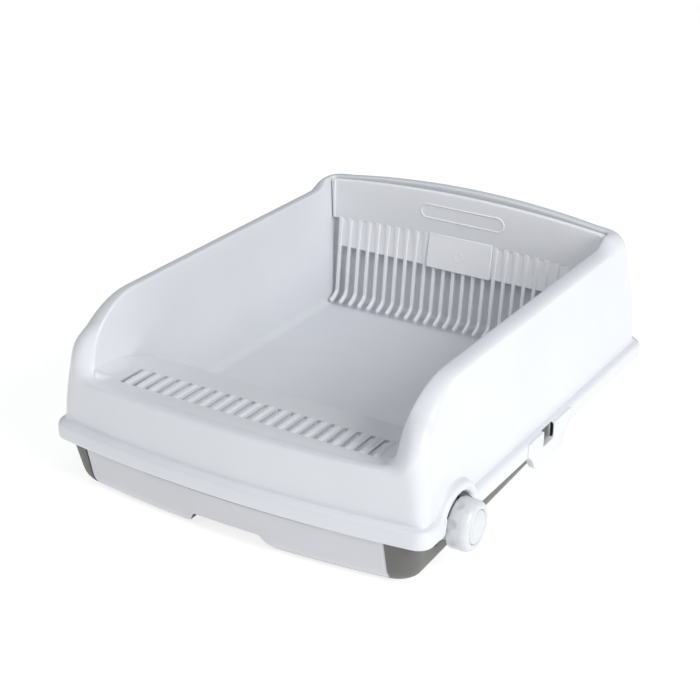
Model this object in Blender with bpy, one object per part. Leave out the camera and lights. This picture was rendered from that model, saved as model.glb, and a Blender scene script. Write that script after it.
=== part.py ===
"""Cat litter box: base pan, lift-off tub, entry step, rake, waste drawer and a knob-driven chute flap.

Run with: blender --background --python part.py
Metres, +Z up. The open front with the waste drawer faces -Y and the knob is at +X.
The origin is the centre of the bounding box on the floor. The knob stands out past the tub, so the tub's
own middle plane lies at x = TUB_MIDDLE_X.
"""
import math

import bmesh
import bpy

MM = 0.001
GAP = 0.3 * MM               # what two pieces that touch keep between them

# Driving dimensions
TUB_WIDTH = 440 * MM         # over the flange
TUB_LENGTH = 560 * MM        # over the flange, along Y
RIM_HEIGHT = 198 * MM        # top of the side walls
LIP_HEIGHT = 125 * MM        # top of the low front edge
FLANGE_BOTTOM = 53 * MM
FLOOR_TOP = 51.5 * MM        # the tub's inner floor
SKIN = 2.6 * MM              # wall thickness of the mouldings
KNOB_REACH = 241 * MM        # from the tub's middle plane to the knob's face
LATCH_REACH = 221.5 * MM     # from the tub's middle plane to the latch tabs' faces

HALF_WIDTH = TUB_WIDTH / 2
HALF_LENGTH = TUB_LENGTH / 2
TUB_MIDDLE_X = (LATCH_REACH - KNOB_REACH) / 2

# Tub shell
FRONT_BOW = 17 * MM          # how far the front bows out of straight
REAR_BOW = 9 * MM
FLANGE_OVERHANG = 7 * MM     # flange past the foot of the outer wall
WALL_FOOT = 77 * MM          # where the outer wall starts above the flange
WALL_LEAN = 17.4 * MM        # how far the side wall leans in by the rim
REAR_LEAN = 9 * MM           # the same at the rear
FRONT_LEAN = 8 * MM          # and at the front
FLANGE_CORNER = 14 * MM
FLANGE_EDGE = ((7.6, 73.6), (4.6, 72.6), (1.5, 70.8), (0, 67), (0, 53))   # mm inwards and mm high
UNDERSIDE = 68 * MM          # height of the hollow under the flange's round edge
INNER_FOOT = 60 * MM         # where the inner wall starts above the floor's fillet
FLOOR_FILLET = ((9, 51.5), (4.5, 52.4), (1.3, 55.5))    # mm inwards and mm high
FLOOR_BELOW = ((0.5, 53.0), (9, 49.0))                  # the same on the floor's underside
INNER_CORNER = 8 * MM        # front corners inside
INNER_REAR_CORNER = 5.5 * MM
INNER_FOOT_HALF = 171.5 * MM  # half the inner width just above the floor
INNER_RIM_HALF = 180 * MM
INNER_FRONT = -262 * MM
INNER_REAR = 231 * MM
INNER_FRONT_BOW = 12 * MM
INNER_REAR_BOW = 3 * MM
INNER_FRONT_LEAN = 4 * MM    # from its foot to the rim
INNER_REAR_LEAN = 2 * MM
REAR_CREST = 222.5 * MM      # the rear wall's edge is an arch: its height in the middle
REAR_FALL = 13 * MM          # and how much lower it is at REAR_FALL_HALF from the middle
REAR_FALL_HALF = 175 * MM
REAR_RISE_START = 190 * MM   # where the side walls' edges start to rise to that arch
REAR_RISE_RUN = 25 * MM
DROP_START = -166 * MM       # where the rim starts to come down towards the front
DROP_RUN = 84 * MM           # length of its elliptic shoulder
DROP_JOIN = 0.958            # share of that length at which the soft foot takes over
CREST_INSET = 2.5 * MM       # the rim's highest line, outwards from the inner wall
FRONT_ROUND = 3 * MM         # how far the rim's outer round reaches down at the front
SIDE_ROUND = 7 * MM          # at the sides
REAR_ROUND = 24 * MM         # and at the rear
SLOPE_ROUND = 12 * MM        # and how much further it reaches halfway down the slope
ROUND_BLEND = 30 * MM        # rise above the lip over which the front's round turns into the sides'
TUB_CORE = (160 * MM, -225 * MM, 212 * MM)    # half width, front and rear of what the outlines' rays leave
STEP_CORE = (145 * MM, -224 * MM, -204 * MM)
CORNER_STEPS = 12
SIDE_STEPS = 14
END_STEPS = 10

# Entry step
STEP_TOP = 126 * MM
STEP_THICK = 3 * MM
STEP_BACK = -172 * MM        # rear edge of the plate
STEP_BACK_CORNER = 24 * MM
STEP_SIDE_GAP = 0.6 * MM     # beside the tub's inner wall
STEP_FRONT_GAP = 0.8 * MM
STEP_SLOTS = 20
STEP_PITCH = 15.3 * MM
SLOT_FRONT = -242 * MM
SLOT_REAR = -206 * MM
SLOT_WIDTH = 6 * MM
STEP_RIB_WIDTH = 6.4 * MM
STEP_RIB_RISE = 1.6 * MM
STEP_RIB_INSET = 1 * MM      # how far a rib stands back from the slots' ends
SKIRT_DEPTH = 22 * MM        # the lip that hangs from the plate's rear edge
SKIRT_THICK = 2.6 * MM

# Knob and chute
AXIS_Y = -195 * MM
AXIS_Z = 54 * MM
KNOB_RADIUS = 26 * MM
ARCH_RADIUS = 30 * MM        # opening of the tub over the knob
ARCH_BAND = 11 * MM
ARCH_BAND_INSIDE = 205 * MM  # the raised band round that opening, from the middle plane
ARCH_BAND_OUTSIDE = 219 * MM
SHAFT_SLOT = 8 * MM          # half the width of the slots over the shaft
SHAFT_RADIUS = 4 * MM
SHAFT_LEFT = -161 * MM
SHAFT_RIGHT = 226 * MM
POST_X = -155 * MM           # left bearing post
FLAP_HALF = 140 * MM
FLAP_REACH = 48 * MM
CHUTE_HALF = 143 * MM

# Rake
RAKE_Y = 221 * MM            # front face of the board
RAKE_HALF = 175 * MM
BOARD_THICK = 4 * MM
BOARD_TOP = 207 * MM
BOARD_BOTTOM = 158 * MM
TINES = 26
TINE_PITCH = 13.2 * MM
TINE_WIDTH = 4.2 * MM
TINE_HALF_DEPTH = 2.2 * MM
TINE_TOP = (222.6 * MM, 166 * MM)      # (y, z) of a tine's centre line: under the board,
TINE_BEND = (214.5 * MM, 70 * MM)      # where it turns forward
TINE_TIP = (198 * MM, 57 * MM)         # and at its tip
BAND_HALF = 167 * MM         # the web that ties the tines together below the board
BAND_THICK = 2.2 * MM
BAND_LEAN = 3.7 * MM         # its foot is this much further forward than its top
BAND_FOOT = 124 * MM
PLATE_HALF = 42 * MM         # the thicker plate in its middle
PLATE_THICK = 4 * MM
PLATE_LEAN = 6.1 * MM
GRIP_HEIGHT = 192 * MM       # middle of the grip's ring on the board
GRIP_HALF = 46 * MM
GRIP_RADIUS = 10 * MM
GRIP_WIDTH = 3 * MM

# Latches at both sides
LATCH_Y = 4 * MM
LATCH_FACE = 212 * MM        # inner face of the tab
WINDOW_HALF = 13 * MM
WINDOW_LOW = 51 * MM
WINDOW_HIGH = 76 * MM

# Base and drawer
BASE_BOTTOM = 2 * MM
BASE_FLOOR = 4.8 * MM
BASE_TOP = 52 * MM
BASE_TAPER = 0.08            # share of its width that the base loses towards the rear
BASE_CORNER = 20 * MM
BASE_WALL_HEIGHTS = (35, 18, 12, 7, 4)   # mm, where the outer face is shaped
DRAWER_HALF = 175.4 * MM
BAY_HALF = 176.1 * MM
TRAY_HALF = 147.5 * MM
TRAY_REAR = -105 * MM
SUPPORT_TOP = 48.6 * MM      # ribs that carry the tub floor
BULKHEAD_Y = -98 * MM        # wall behind the drawer
FOOT_RADIUS = 11 * MM
FOOT_RADIUS_CLEAR = FOOT_RADIUS + 0.4 * MM
FOOT_HEIGHT = 3 * MM

WHITE = (0.86, 0.87, 0.89)
STEP_WHITE = (0.80, 0.81, 0.82)
TAUPE = (0.22, 0.215, 0.195)
TRAY_GREY = (0.55, 0.55, 0.54)
RUBBER = (0.03, 0.03, 0.03)
STEEL = (0.60, 0.60, 0.61)


def clear_scene():
    for item in list(bpy.data.objects):
        bpy.data.objects.remove(item, do_unlink=True)


def material(name, colour, roughness, metallic=0.0):
    made = bpy.data.materials.new(name)
    made.use_nodes = True
    shader = made.node_tree.nodes["Principled BSDF"]
    shader.inputs["Base Color"].default_value = (*colour, 1.0)
    shader.inputs["Roughness"].default_value = roughness
    shader.inputs["Metallic"].default_value = metallic
    return made


def make_object(name, bm, parent, look=None, smooth=30):
    bmesh.ops.recalc_face_normals(bm, faces=bm.faces)
    mesh = bpy.data.meshes.new(name)
    bm.to_mesh(mesh)
    bm.free()
    if look:
        mesh.materials.append(look)
        mesh.shade_smooth()
        mesh.set_sharp_from_angle(angle=math.radians(smooth))
    made = bpy.data.objects.new(name, mesh)
    bpy.context.scene.collection.objects.link(made)
    made.parent = parent
    return made


def empty(name, parent=None, location=(0.0, 0.0, 0.0)):
    made = bpy.data.objects.new(name, None)
    bpy.context.scene.collection.objects.link(made)
    made.parent = parent
    made.location = location
    return made


def tool(name, bm, target, operation):
    """A Boolean operand: a hidden guide that cuts or joins its target."""
    guide = make_object(name, bm, target.parent)
    guide.location = target.location
    guide.hide_render = True
    guide.display_type = "WIRE"
    step = target.modifiers.new(name, "BOOLEAN")
    step.operation = operation
    step.solver = "EXACT"
    step.object = guide
    return guide


def box(low, high):
    bm = bmesh.new()
    corners = [[x, y, z] for x in (low[0], high[0]) for y in (low[1], high[1]) for z in (low[2], high[2])]
    points = [bm.verts.new(corner) for corner in corners]
    for loop in ((0, 1, 3, 2), (4, 6, 7, 5), (0, 4, 5, 1), (2, 3, 7, 6), (0, 2, 6, 4), (1, 5, 7, 3)):
        bm.faces.new([points[i] for i in loop])
    return bm


def add_box(bm, low, high):
    extra = box(low, high)
    mesh = bpy.data.meshes.new("box")
    extra.to_mesh(mesh)
    extra.free()
    bm.from_mesh(mesh)
    bpy.data.meshes.remove(mesh)


def prism(outline, axis, start, end):
    """A straight prism of a flat outline: (y, z) pairs along X, (x, z) along Y or (x, y) along Z."""
    bm = bmesh.new()
    rings = []
    for along in (start, end):
        ring = []
        for first, second in outline:
            places = {"X": (along, first, second), "Y": (first, along, second), "Z": (first, second, along)}
            ring.append(bm.verts.new(places[axis]))
        rings.append(ring)
    bridge(bm, rings[0], rings[1])
    bm.faces.new(rings[0])
    bm.faces.new(rings[1])
    return bm


def bridge(bm, first, second):
    count = len(first)
    for i in range(count):
        after = (i + 1) % count
        bm.faces.new((first[i], first[after], second[after], second[i]))


def arc(centre, radius, start, end, steps):
    """Points of an arc, angles in degrees."""
    angles = [math.radians(start + (end - start) * i / steps) for i in range(steps + 1)]
    return [(centre[0] + radius * math.cos(a), centre[1] + radius * math.sin(a)) for a in angles]


def turned(profile, sides):
    """A solid turned about an X axis. The profile holds (x, radius) pairs; radius 0 is a pole."""
    bm = bmesh.new()
    rings = []
    for along, radius in profile:
        if radius < 0.01 * MM:
            rings.append([bm.verts.new((along, 0.0, 0.0))])
            continue
        ring = []
        for i in range(sides):
            turn = 2 * math.pi * i / sides
            ring.append(bm.verts.new((along, radius * math.cos(turn), radius * math.sin(turn))))
        rings.append(ring)
    closed = len(rings[0]) > 1 and len(rings[-1]) > 1
    pairs = list(zip(rings, rings[1:]))
    if closed:
        pairs.append((rings[-1], rings[0]))
    for first, second in pairs:
        if len(first) == 1 or len(second) == 1:
            pole, ring = (first[0], second) if len(first) == 1 else (second[0], first)
            for i in range(sides):
                bm.faces.new((pole, ring[i], ring[(i + 1) % sides]))
        else:
            bridge(bm, first, second)
    return bm


# ---------------------------------------------------------------- rounded outlines

def rays(core):
    """(x, y, dx, dy) of the rays that carry an outline's points, anticlockwise from the front's middle."""
    half, front, rear = core
    count = END_STEPS // 2
    right = [(half * i / count, front, 0.0, -1.0) for i in range(count)]
    for i in range(CORNER_STEPS):
        turn = math.pi / 2 * i / CORNER_STEPS
        right.append((half, front, math.sin(turn), -math.cos(turn)))
    for i in range(SIDE_STEPS):
        right.append((half, front + (rear - front) * (i / SIDE_STEPS) ** 1.25, 1.0, 0.0))
    for i in range(CORNER_STEPS):
        turn = math.pi / 2 * i / CORNER_STEPS
        right.append((half, rear, math.cos(turn), math.sin(turn)))
    right += [(half * (1 - i / count), rear, 0.0, 1.0) for i in range(count + 1)]
    return right + [(-x, y, -dx, dy) for x, y, dx, dy in reversed(right[1:-1])]


def depth(size, x, y):
    """How far a place lies inside a bowed rectangle with round corners."""
    half, front, rear, corner, rear_corner, front_bow, rear_bow = size
    side = half - abs(x)
    share = (x / half) ** 2
    end, radius = y - front - front_bow * share, corner
    if y > (front + rear) / 2:
        end, radius = rear - rear_bow * share - y, rear_corner
    if side >= radius or end >= radius:
        return min(side, end)
    return radius - math.hypot(radius - side, radius - end)


def reach(ray, size):
    """Where a ray meets the edge of a size, found by halving."""
    x, y, dx, dy = ray
    near, far = 0.0, 130 * MM
    for _ in range(26):
        middle = (near + far) / 2
        if depth(size, x + dx * middle, y + dy * middle) > 0:
            near = middle
        else:
            far = middle
    return x + dx * near, y + dy * near


def outline(size, taper=0.0, core=TUB_CORE):
    places = [reach(ray, size) for ray in rays(core)]
    front, span = size[1], size[2] - size[1]
    return [(x * (1 - taper * (y - front) / span), y) for x, y in places]


def shrunk(size, inset):
    """A size moved inwards all round."""
    half, front, rear, corner, rear_corner, front_bow, rear_bow = size
    corner = max(corner - inset, 5 * MM)
    rear_corner = max(rear_corner - inset, 5 * MM)
    return half - inset, front + inset, rear - inset, corner, rear_corner, front_bow, rear_bow


def smooth_step(start, run, value):
    """0 before start, 1 after start + run, and a smooth change between."""
    share = min(max((value - start) / run, 0.0), 1.0)
    return share * share * (3 - 2 * share)


def drop_left(x, y, half):
    """Share of the height between lip and rim that is left near a place on the inner wall.

    Going forward the rim comes down an elliptic shoulder and then a soft foot that fades into the lip."""
    along = (DROP_START - y + half - abs(x)) / DROP_RUN
    if along <= 0:
        return 1.0
    if along < DROP_JOIN:
        return math.sqrt(1 - along ** 2)
    foot = 1 - DROP_JOIN ** 2
    return math.sqrt(foot) * math.exp(-(along - DROP_JOIN) * DROP_JOIN / foot)


def rim_height(x, y, half):
    """Height of the tub's rim: level at the sides, down to the lip in front and up to an arch at the rear."""
    level = LIP_HEIGHT + (RIM_HEIGHT - LIP_HEIGHT) * drop_left(x, y, half)
    arch = REAR_CREST - REAR_FALL * (x / REAR_FALL_HALF) ** 2
    return level + (arch - RIM_HEIGHT) * smooth_step(REAR_RISE_START, REAR_RISE_RUN, y)


def rim_round(y, crest):
    """How far the rim's outer round reaches down below its crest."""
    level = FRONT_ROUND + (SIDE_ROUND - FRONT_ROUND) * smooth_step(LIP_HEIGHT, ROUND_BLEND, crest)
    share = min((crest - LIP_HEIGHT) / (RIM_HEIGHT - LIP_HEIGHT), 1.0)
    level += 4 * share * (1 - share) * SLOPE_ROUND
    return level + (REAR_ROUND - level) * smooth_step(REAR_RISE_START, REAR_RISE_RUN, y)


def wall_part(z):
    return min(max((z - WALL_FOOT) / (RIM_HEIGHT - WALL_FOOT), 0.0), 1.05)


def outer_wall(z):
    """Half width, front, rear, corner radii and bows of the outer wall at a height."""
    part = wall_part(z)
    half = HALF_WIDTH - FLANGE_OVERHANG - WALL_LEAN * part ** 1.8
    front = -HALF_LENGTH + FLANGE_OVERHANG + FRONT_LEAN * part ** 1.8
    rear = HALF_LENGTH - FLANGE_OVERHANG - REAR_LEAN * part ** 1.3
    return half, front, rear, (12 + 12 * part) * MM, (18 + 2 * part) * MM, FRONT_BOW, REAR_BOW


def inner_wall(z):
    part = min(max((z - INNER_FOOT) / (RIM_HEIGHT - INNER_FOOT), 0.0), 1.05)
    half = INNER_FOOT_HALF + (INNER_RIM_HALF - INNER_FOOT_HALF) * part
    front = INNER_FRONT + INNER_FRONT_LEAN * (1 - part)
    rear = INNER_REAR - INNER_REAR_LEAN * (1 - part)
    return half, front, rear, INNER_CORNER, INNER_REAR_CORNER, INNER_FRONT_BOW, INNER_REAR_BOW


def wall_ring(wall, inset, share, low, tops):
    """A ring on a wall, at a share of the height between low and the wall's top."""
    ring = []
    for ray, top in zip(rays(TUB_CORE), tops):
        level = low + (top - low) * share
        x, y = reach(ray, shrunk(wall(level), inset))
        ring.append((x, y, level))
    return ring


def level_ring(size, inset, level):
    return [(x, y, level) for x, y in outline(shrunk(size, inset))]


def rim_rings(crest, foot, turns):
    """Rings of a quarter round that runs outwards and down from the crest to the foot."""
    rings = []
    for turn in turns:
        across = math.sin(math.radians(turn))
        down = 1 - math.cos(math.radians(turn))
        ring = []
        for high, low in zip(crest, foot):
            x = high[0] + (low[0] - high[0]) * across
            y = high[1] + (low[1] - high[1]) * across
            ring.append((x, y, high[2] + (low[2] - high[2]) * down))
        rings.append(ring)
    return rings


def lowered(tops, drop):
    return [top - drop for top in tops]


def tub_rings():
    """Every ring of the tub's skin, from the floor over the rim to the flange and back underneath."""
    flange = (HALF_WIDTH, -HALF_LENGTH, HALF_LENGTH, FLANGE_CORNER, FLANGE_CORNER, FRONT_BOW, REAR_BOW)
    floor = inner_wall(INNER_FOOT)
    edge = outline(inner_wall(RIM_HEIGHT))
    crests = [rim_height(x, y, INNER_RIM_HALF) for x, y in edge]
    shoulders = [crest - rim_round(y, crest) for (x, y), crest in zip(edge, crests)]

    rings = [level_ring(floor, inset * MM, level * MM) for inset, level in FLOOR_FILLET]
    for share in (0.0, 0.33, 0.66, 1.0):
        rings.append(wall_ring(inner_wall, 0.0, share, INNER_FOOT, lowered(crests, CREST_INSET)))
    edge_inset = 0.3 * CREST_INSET
    rings.append(wall_ring(inner_wall, -edge_inset, 1.0, INNER_FOOT, lowered(crests, edge_inset)))
    crest = wall_ring(inner_wall, -CREST_INSET, 1.0, INNER_FOOT, crests)
    rings.append(crest)
    foot = wall_ring(outer_wall, 0.0, 1.0, WALL_FOOT, shoulders)
    rings += rim_rings(crest, foot, (30, 55, 75))
    for share in (1.0, 0.7, 0.4, 0.0):
        rings.append(wall_ring(outer_wall, 0.0, share, WALL_FOOT, shoulders))
    rings += [level_ring(flange, inset * MM, level * MM) for inset, level in FLANGE_EDGE]
    rings += [level_ring(flange, SKIN, FLANGE_BOTTOM), level_ring(flange, SKIN, UNDERSIDE)]

    below = lowered(shoulders, 1.5 * MM)
    for share in (0.0, 0.5):
        rings.append(wall_ring(outer_wall, SKIN, share, WALL_FOOT - 4 * MM, below))
    hollow_foot = wall_ring(outer_wall, SKIN, 1.0, WALL_FOOT, below)
    hollow_crest = wall_ring(inner_wall, -CREST_INSET - 1 * MM, 1.0, INNER_FOOT, lowered(crests, SKIN))
    rings.append(hollow_foot)
    rings += rim_rings(hollow_crest, hollow_foot, (60, 30, 0))
    for share in (1.0, 0.5, 0.0):
        rings.append(wall_ring(inner_wall, -SKIN, share, INNER_FOOT, lowered(crests, 2 * SKIN)))
    rings += [level_ring(floor, inset * MM, level * MM) for inset, level in FLOOR_BELOW]
    return rings


def loft(rings):
    """A closed skin through the rings, with its first and last ring filled."""
    bm = bmesh.new()
    made = [[bm.verts.new(place) for place in ring] for ring in rings]
    for first, second in zip(made, made[1:]):
        bridge(bm, first, second)
    bm.faces.new(made[0])
    bm.faces.new(made[-1])
    return bm


# ---------------------------------------------------------------- tub

def side_latch(side):
    """The tab that hangs from the flange at one side."""
    shape = [(-50, 70), (-50, 55), (-40, 50), (-32, 37), (-28, 33),
             (34, 33), (38, 37), (44, 50), (58, 55), (58, 70)]
    points = [(LATCH_Y + y * MM, z * MM) for y, z in shape]
    return prism(points, "X", side * LATCH_FACE, side * LATCH_REACH)


def build_tub(parent, look):
    tub = make_object("tub", loft(tub_rings()), parent, look)
    band = ARCH_RADIUS + ARCH_BAND
    arch = arc((AXIS_Y, AXIS_Z), band, 0, 180, 20)
    arch += [(AXIS_Y - band, FLANGE_BOTTOM), (AXIS_Y + band, FLANGE_BOTTOM)]
    tool("arch_band", prism(arch, "X", ARCH_BAND_INSIDE, ARCH_BAND_OUTSIDE), tub, "UNION")
    opening = arc((AXIS_Y, AXIS_Z), ARCH_RADIUS, 0, 180, 24)
    below = 40 * MM              # the cutters start below the tub
    opening += [(AXIS_Y - ARCH_RADIUS, below), (AXIS_Y + ARCH_RADIUS, below)]
    arch_cut = prism(opening, "X", ARCH_BAND_INSIDE - 15 * MM, ARCH_BAND_OUTSIDE + 11 * MM)
    tool("arch_cut", arch_cut, tub, "DIFFERENCE")
    notch = SHAFT_SLOT
    slot = arc((AXIS_Y, AXIS_Z), notch, 0, 180, 10)
    slot += [(AXIS_Y - notch, below), (AXIS_Y + notch, below)]
    tool("shaft_cut", prism(slot, "X", CHUTE_HALF - 4 * MM, 189 * MM), tub, "DIFFERENCE")
    chute_rear = AXIS_Y + FLAP_REACH + 2 * MM
    pocket_left = SHAFT_LEFT - 3 * MM
    pocket_half = 11 * MM        # room for the left bearing beside the chute
    chute = [(-CHUTE_HALF, AXIS_Y - notch), (CHUTE_HALF, AXIS_Y - notch),
             (CHUTE_HALF, chute_rear), (-CHUTE_HALF, chute_rear),
             (-CHUTE_HALF, AXIS_Y + pocket_half), (pocket_left, AXIS_Y + pocket_half),
             (pocket_left, AXIS_Y - pocket_half), (-CHUTE_HALF, AXIS_Y - pocket_half)]
    tool("chute_cut", prism(chute, "Z", below, INNER_FOOT + 4 * MM), tub, "DIFFERENCE")
    for side, label in ((-1, "left"), (1, "right")):
        tool("latch_tab_" + label, side_latch(side), tub, "UNION")
    for side, label in ((-1, "left"), (1, "right")):
        edges = sorted((side * (LATCH_FACE - 12 * MM), side * (LATCH_REACH + 9 * MM)))
        low = (edges[0], LATCH_Y - WINDOW_HALF, WINDOW_LOW)
        high = (edges[1], LATCH_Y + WINDOW_HALF, WINDOW_HIGH)
        tool("latch_window_" + label, box(low, high), tub, "DIFFERENCE")
    return tub


def build_entry_step(parent, look):
    """The slotted plate that fills the mouth behind the lip."""
    low = STEP_TOP - STEP_THICK
    half, front, rear, corner, rear_corner, front_bow, rear_bow = inner_wall(low)
    half -= STEP_SIDE_GAP
    front += STEP_FRONT_GAP
    size = (half, front, STEP_BACK, corner, STEP_BACK_CORNER, front_bow, 0.0)
    plate = make_object("entry_step", prism(outline(size, core=STEP_CORE), "Z", low, STEP_TOP), parent, look)
    slots = bmesh.new()
    ribs = bmesh.new()
    for i in range(STEP_SLOTS):
        x = (i - (STEP_SLOTS - 1) / 2) * STEP_PITCH
        reach = SLOT_WIDTH / 2
        add_box(slots, (x - reach, SLOT_FRONT, low - STEP_THICK),
                (x + reach, SLOT_REAR, STEP_TOP + STEP_THICK))
    for i in range(STEP_SLOTS - 1):
        x = (i - (STEP_SLOTS - 2) / 2) * STEP_PITCH
        reach = STEP_RIB_WIDTH / 2
        add_box(ribs, (x - reach, SLOT_FRONT + STEP_RIB_INSET, STEP_TOP - 1 * MM),
                (x + reach, SLOT_REAR - STEP_RIB_INSET, STEP_TOP + STEP_RIB_RISE))
    tool("step_ribs", ribs, plate, "UNION")
    tool("step_slots", slots, plate, "DIFFERENCE")
    skirt_half = half - STEP_BACK_CORNER - 2 * MM
    skirt_rear = STEP_BACK - 1 * MM
    skirt = box((-skirt_half, skirt_rear - SKIRT_THICK, STEP_TOP - SKIRT_DEPTH),
                (skirt_half, skirt_rear, STEP_TOP - 1 * MM))
    tool("step_skirt", skirt, plate, "UNION")
    return plate


# ---------------------------------------------------------------- rake

def tine_centre(part):
    """Centre line of a tine: (y, z) at a share of the way from the board down to its tip."""
    if part <= 0.5:
        share = part / 0.5
        y = TINE_TOP[0] + (TINE_BEND[0] - TINE_TOP[0]) * share
        return y, TINE_TOP[1] + (TINE_BEND[1] - TINE_TOP[1]) * share
    turn = (part - 0.5) / 0.5 * math.radians(75)
    y = TINE_BEND[0] + (TINE_TIP[0] - TINE_BEND[0]) * (1 - math.cos(turn)) / (1 - math.cos(math.radians(75)))
    return y, TINE_BEND[1] + (TINE_TIP[1] - TINE_BEND[1]) * math.sin(turn) / math.sin(math.radians(75))


def add_tine(bm, x):
    half = TINE_WIDTH / 2
    depth = TINE_HALF_DEPTH
    rings = []
    steps = (0.0, 0.25, 0.5, 0.62, 0.74, 0.87, 1.0)
    for part in steps:
        y, z = tine_centre(part)
        before = tine_centre(max(part - 0.05, 0.0))
        after = tine_centre(min(part + 0.05, 1.0))
        along = math.atan2(after[1] - before[1], after[0] - before[0])
        out_y, out_z = math.sin(along), -math.cos(along)
        ring = []
        for dx, out in ((-half, -depth), (half, -depth), (half, depth), (-half, depth)):
            ring.append(bm.verts.new((x + dx, y + out_y * out, z + out_z * out)))
        rings.append(ring)
    for first, second in zip(rings, rings[1:]):
        bridge(bm, first, second)
    bm.faces.new(rings[0])
    bm.faces.new(rings[-1])


def leaning_web(half, front, top, lean, thick):
    """A flat web below the board, its foot further forward than its top."""
    shape = [(front, top), (front + thick, top), (front + thick - lean, BAND_FOOT), (front - lean, BAND_FOOT)]
    return prism(shape, "X", -half, half)


def arched(x, level, rise):
    return level + rise * (1 - (x / RAKE_HALF) ** 2)


def build_rake(parent, look):
    steps = 16
    xs = [-RAKE_HALF + 2 * RAKE_HALF * i / steps for i in range(steps + 1)]
    board = [(x, arched(x, BOARD_BOTTOM, 5 * MM)) for x in xs]
    board += [(x, arched(x, BOARD_TOP, 11 * MM)) for x in reversed(xs)]
    rake = make_object("rake", prism(board, "Y", RAKE_Y, RAKE_Y + BOARD_THICK), parent, look)
    tines = bmesh.new()
    for i in range(TINES):
        add_tine(tines, (i - (TINES - 1) / 2) * TINE_PITCH)
    web_top = BOARD_BOTTOM + 9 * MM
    band = leaning_web(BAND_HALF, RAKE_Y + 1.2 * MM, web_top, BAND_LEAN, BAND_THICK)
    tool("rake_band", band, rake, "UNION")
    tool("rake_tines", tines, rake, "UNION")
    plate = leaning_web(PLATE_HALF, RAKE_Y - 0.5 * MM, web_top - 2 * MM, PLATE_LEAN, PLATE_THICK)
    tool("rake_plate", plate, rake, "UNION")
    shapes = []
    for width in (0.0, GRIP_WIDTH):
        right = arc((GRIP_HALF - width, GRIP_HEIGHT), GRIP_RADIUS - width, -90, 90, 10)
        left = arc((width - GRIP_HALF, GRIP_HEIGHT), GRIP_RADIUS - width, 90, 270, 10)
        shapes.append(right + left)
    tool("grip_ring", prism(shapes[0], "Y", RAKE_Y - 1 * MM, RAKE_Y + 1 * MM), rake, "UNION")
    tool("grip_hollow", prism(shapes[1], "Y", RAKE_Y - 3 * MM, RAKE_Y + 0.8 * MM), rake, "DIFFERENCE")
    for side, label in ((-1, "left"), (1, "right")):
        edge = side * (RAKE_HALF - 2.4 * MM)
        low = (min(edge, side * RAKE_HALF), RAKE_Y - 1.6 * MM, BOARD_BOTTOM)
        high = (max(edge, side * RAKE_HALF), RAKE_Y + 1 * MM, BOARD_TOP)
        tool("rake_edge_" + label, box(low, high), rake, "UNION")
    return rake


# ---------------------------------------------------------------- base and drawer

def base_size(z):
    """Half width, front and rear of the base's outer face at a height, with a round bottom edge."""
    part = (z - BASE_BOTTOM) / (BASE_TOP - BASE_BOTTOM)
    bulge = math.sqrt(max(1 - (1 - min(part / 0.34, 1.0)) ** 2, 0.0))
    half = (190 + 9 * bulge + 6 * part) * MM
    front = (-255 - 11 * bulge - 12 * part) * MM
    rear = (244 + 10 * bulge + 11 * part) * MM
    return half, front, rear, BASE_CORNER, BASE_CORNER, FRONT_BOW, REAR_BOW


def base_ring(z, inset):
    return [(x, y, z) for x, y in outline(shrunk(base_size(z), inset), BASE_TAPER)]


def base_front(x, z):
    """Y of the base's front face, which the drawer front continues."""
    half, front = base_size(z)[:2]
    return front + FRONT_BOW * (x / half) ** 2


def base_half(y, z):
    """Half width of the base's outer face at a place along it."""
    half, front, rear = base_size(z)[:3]
    return half * (1 - BASE_TAPER * (y - front) / (rear - front))


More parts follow.
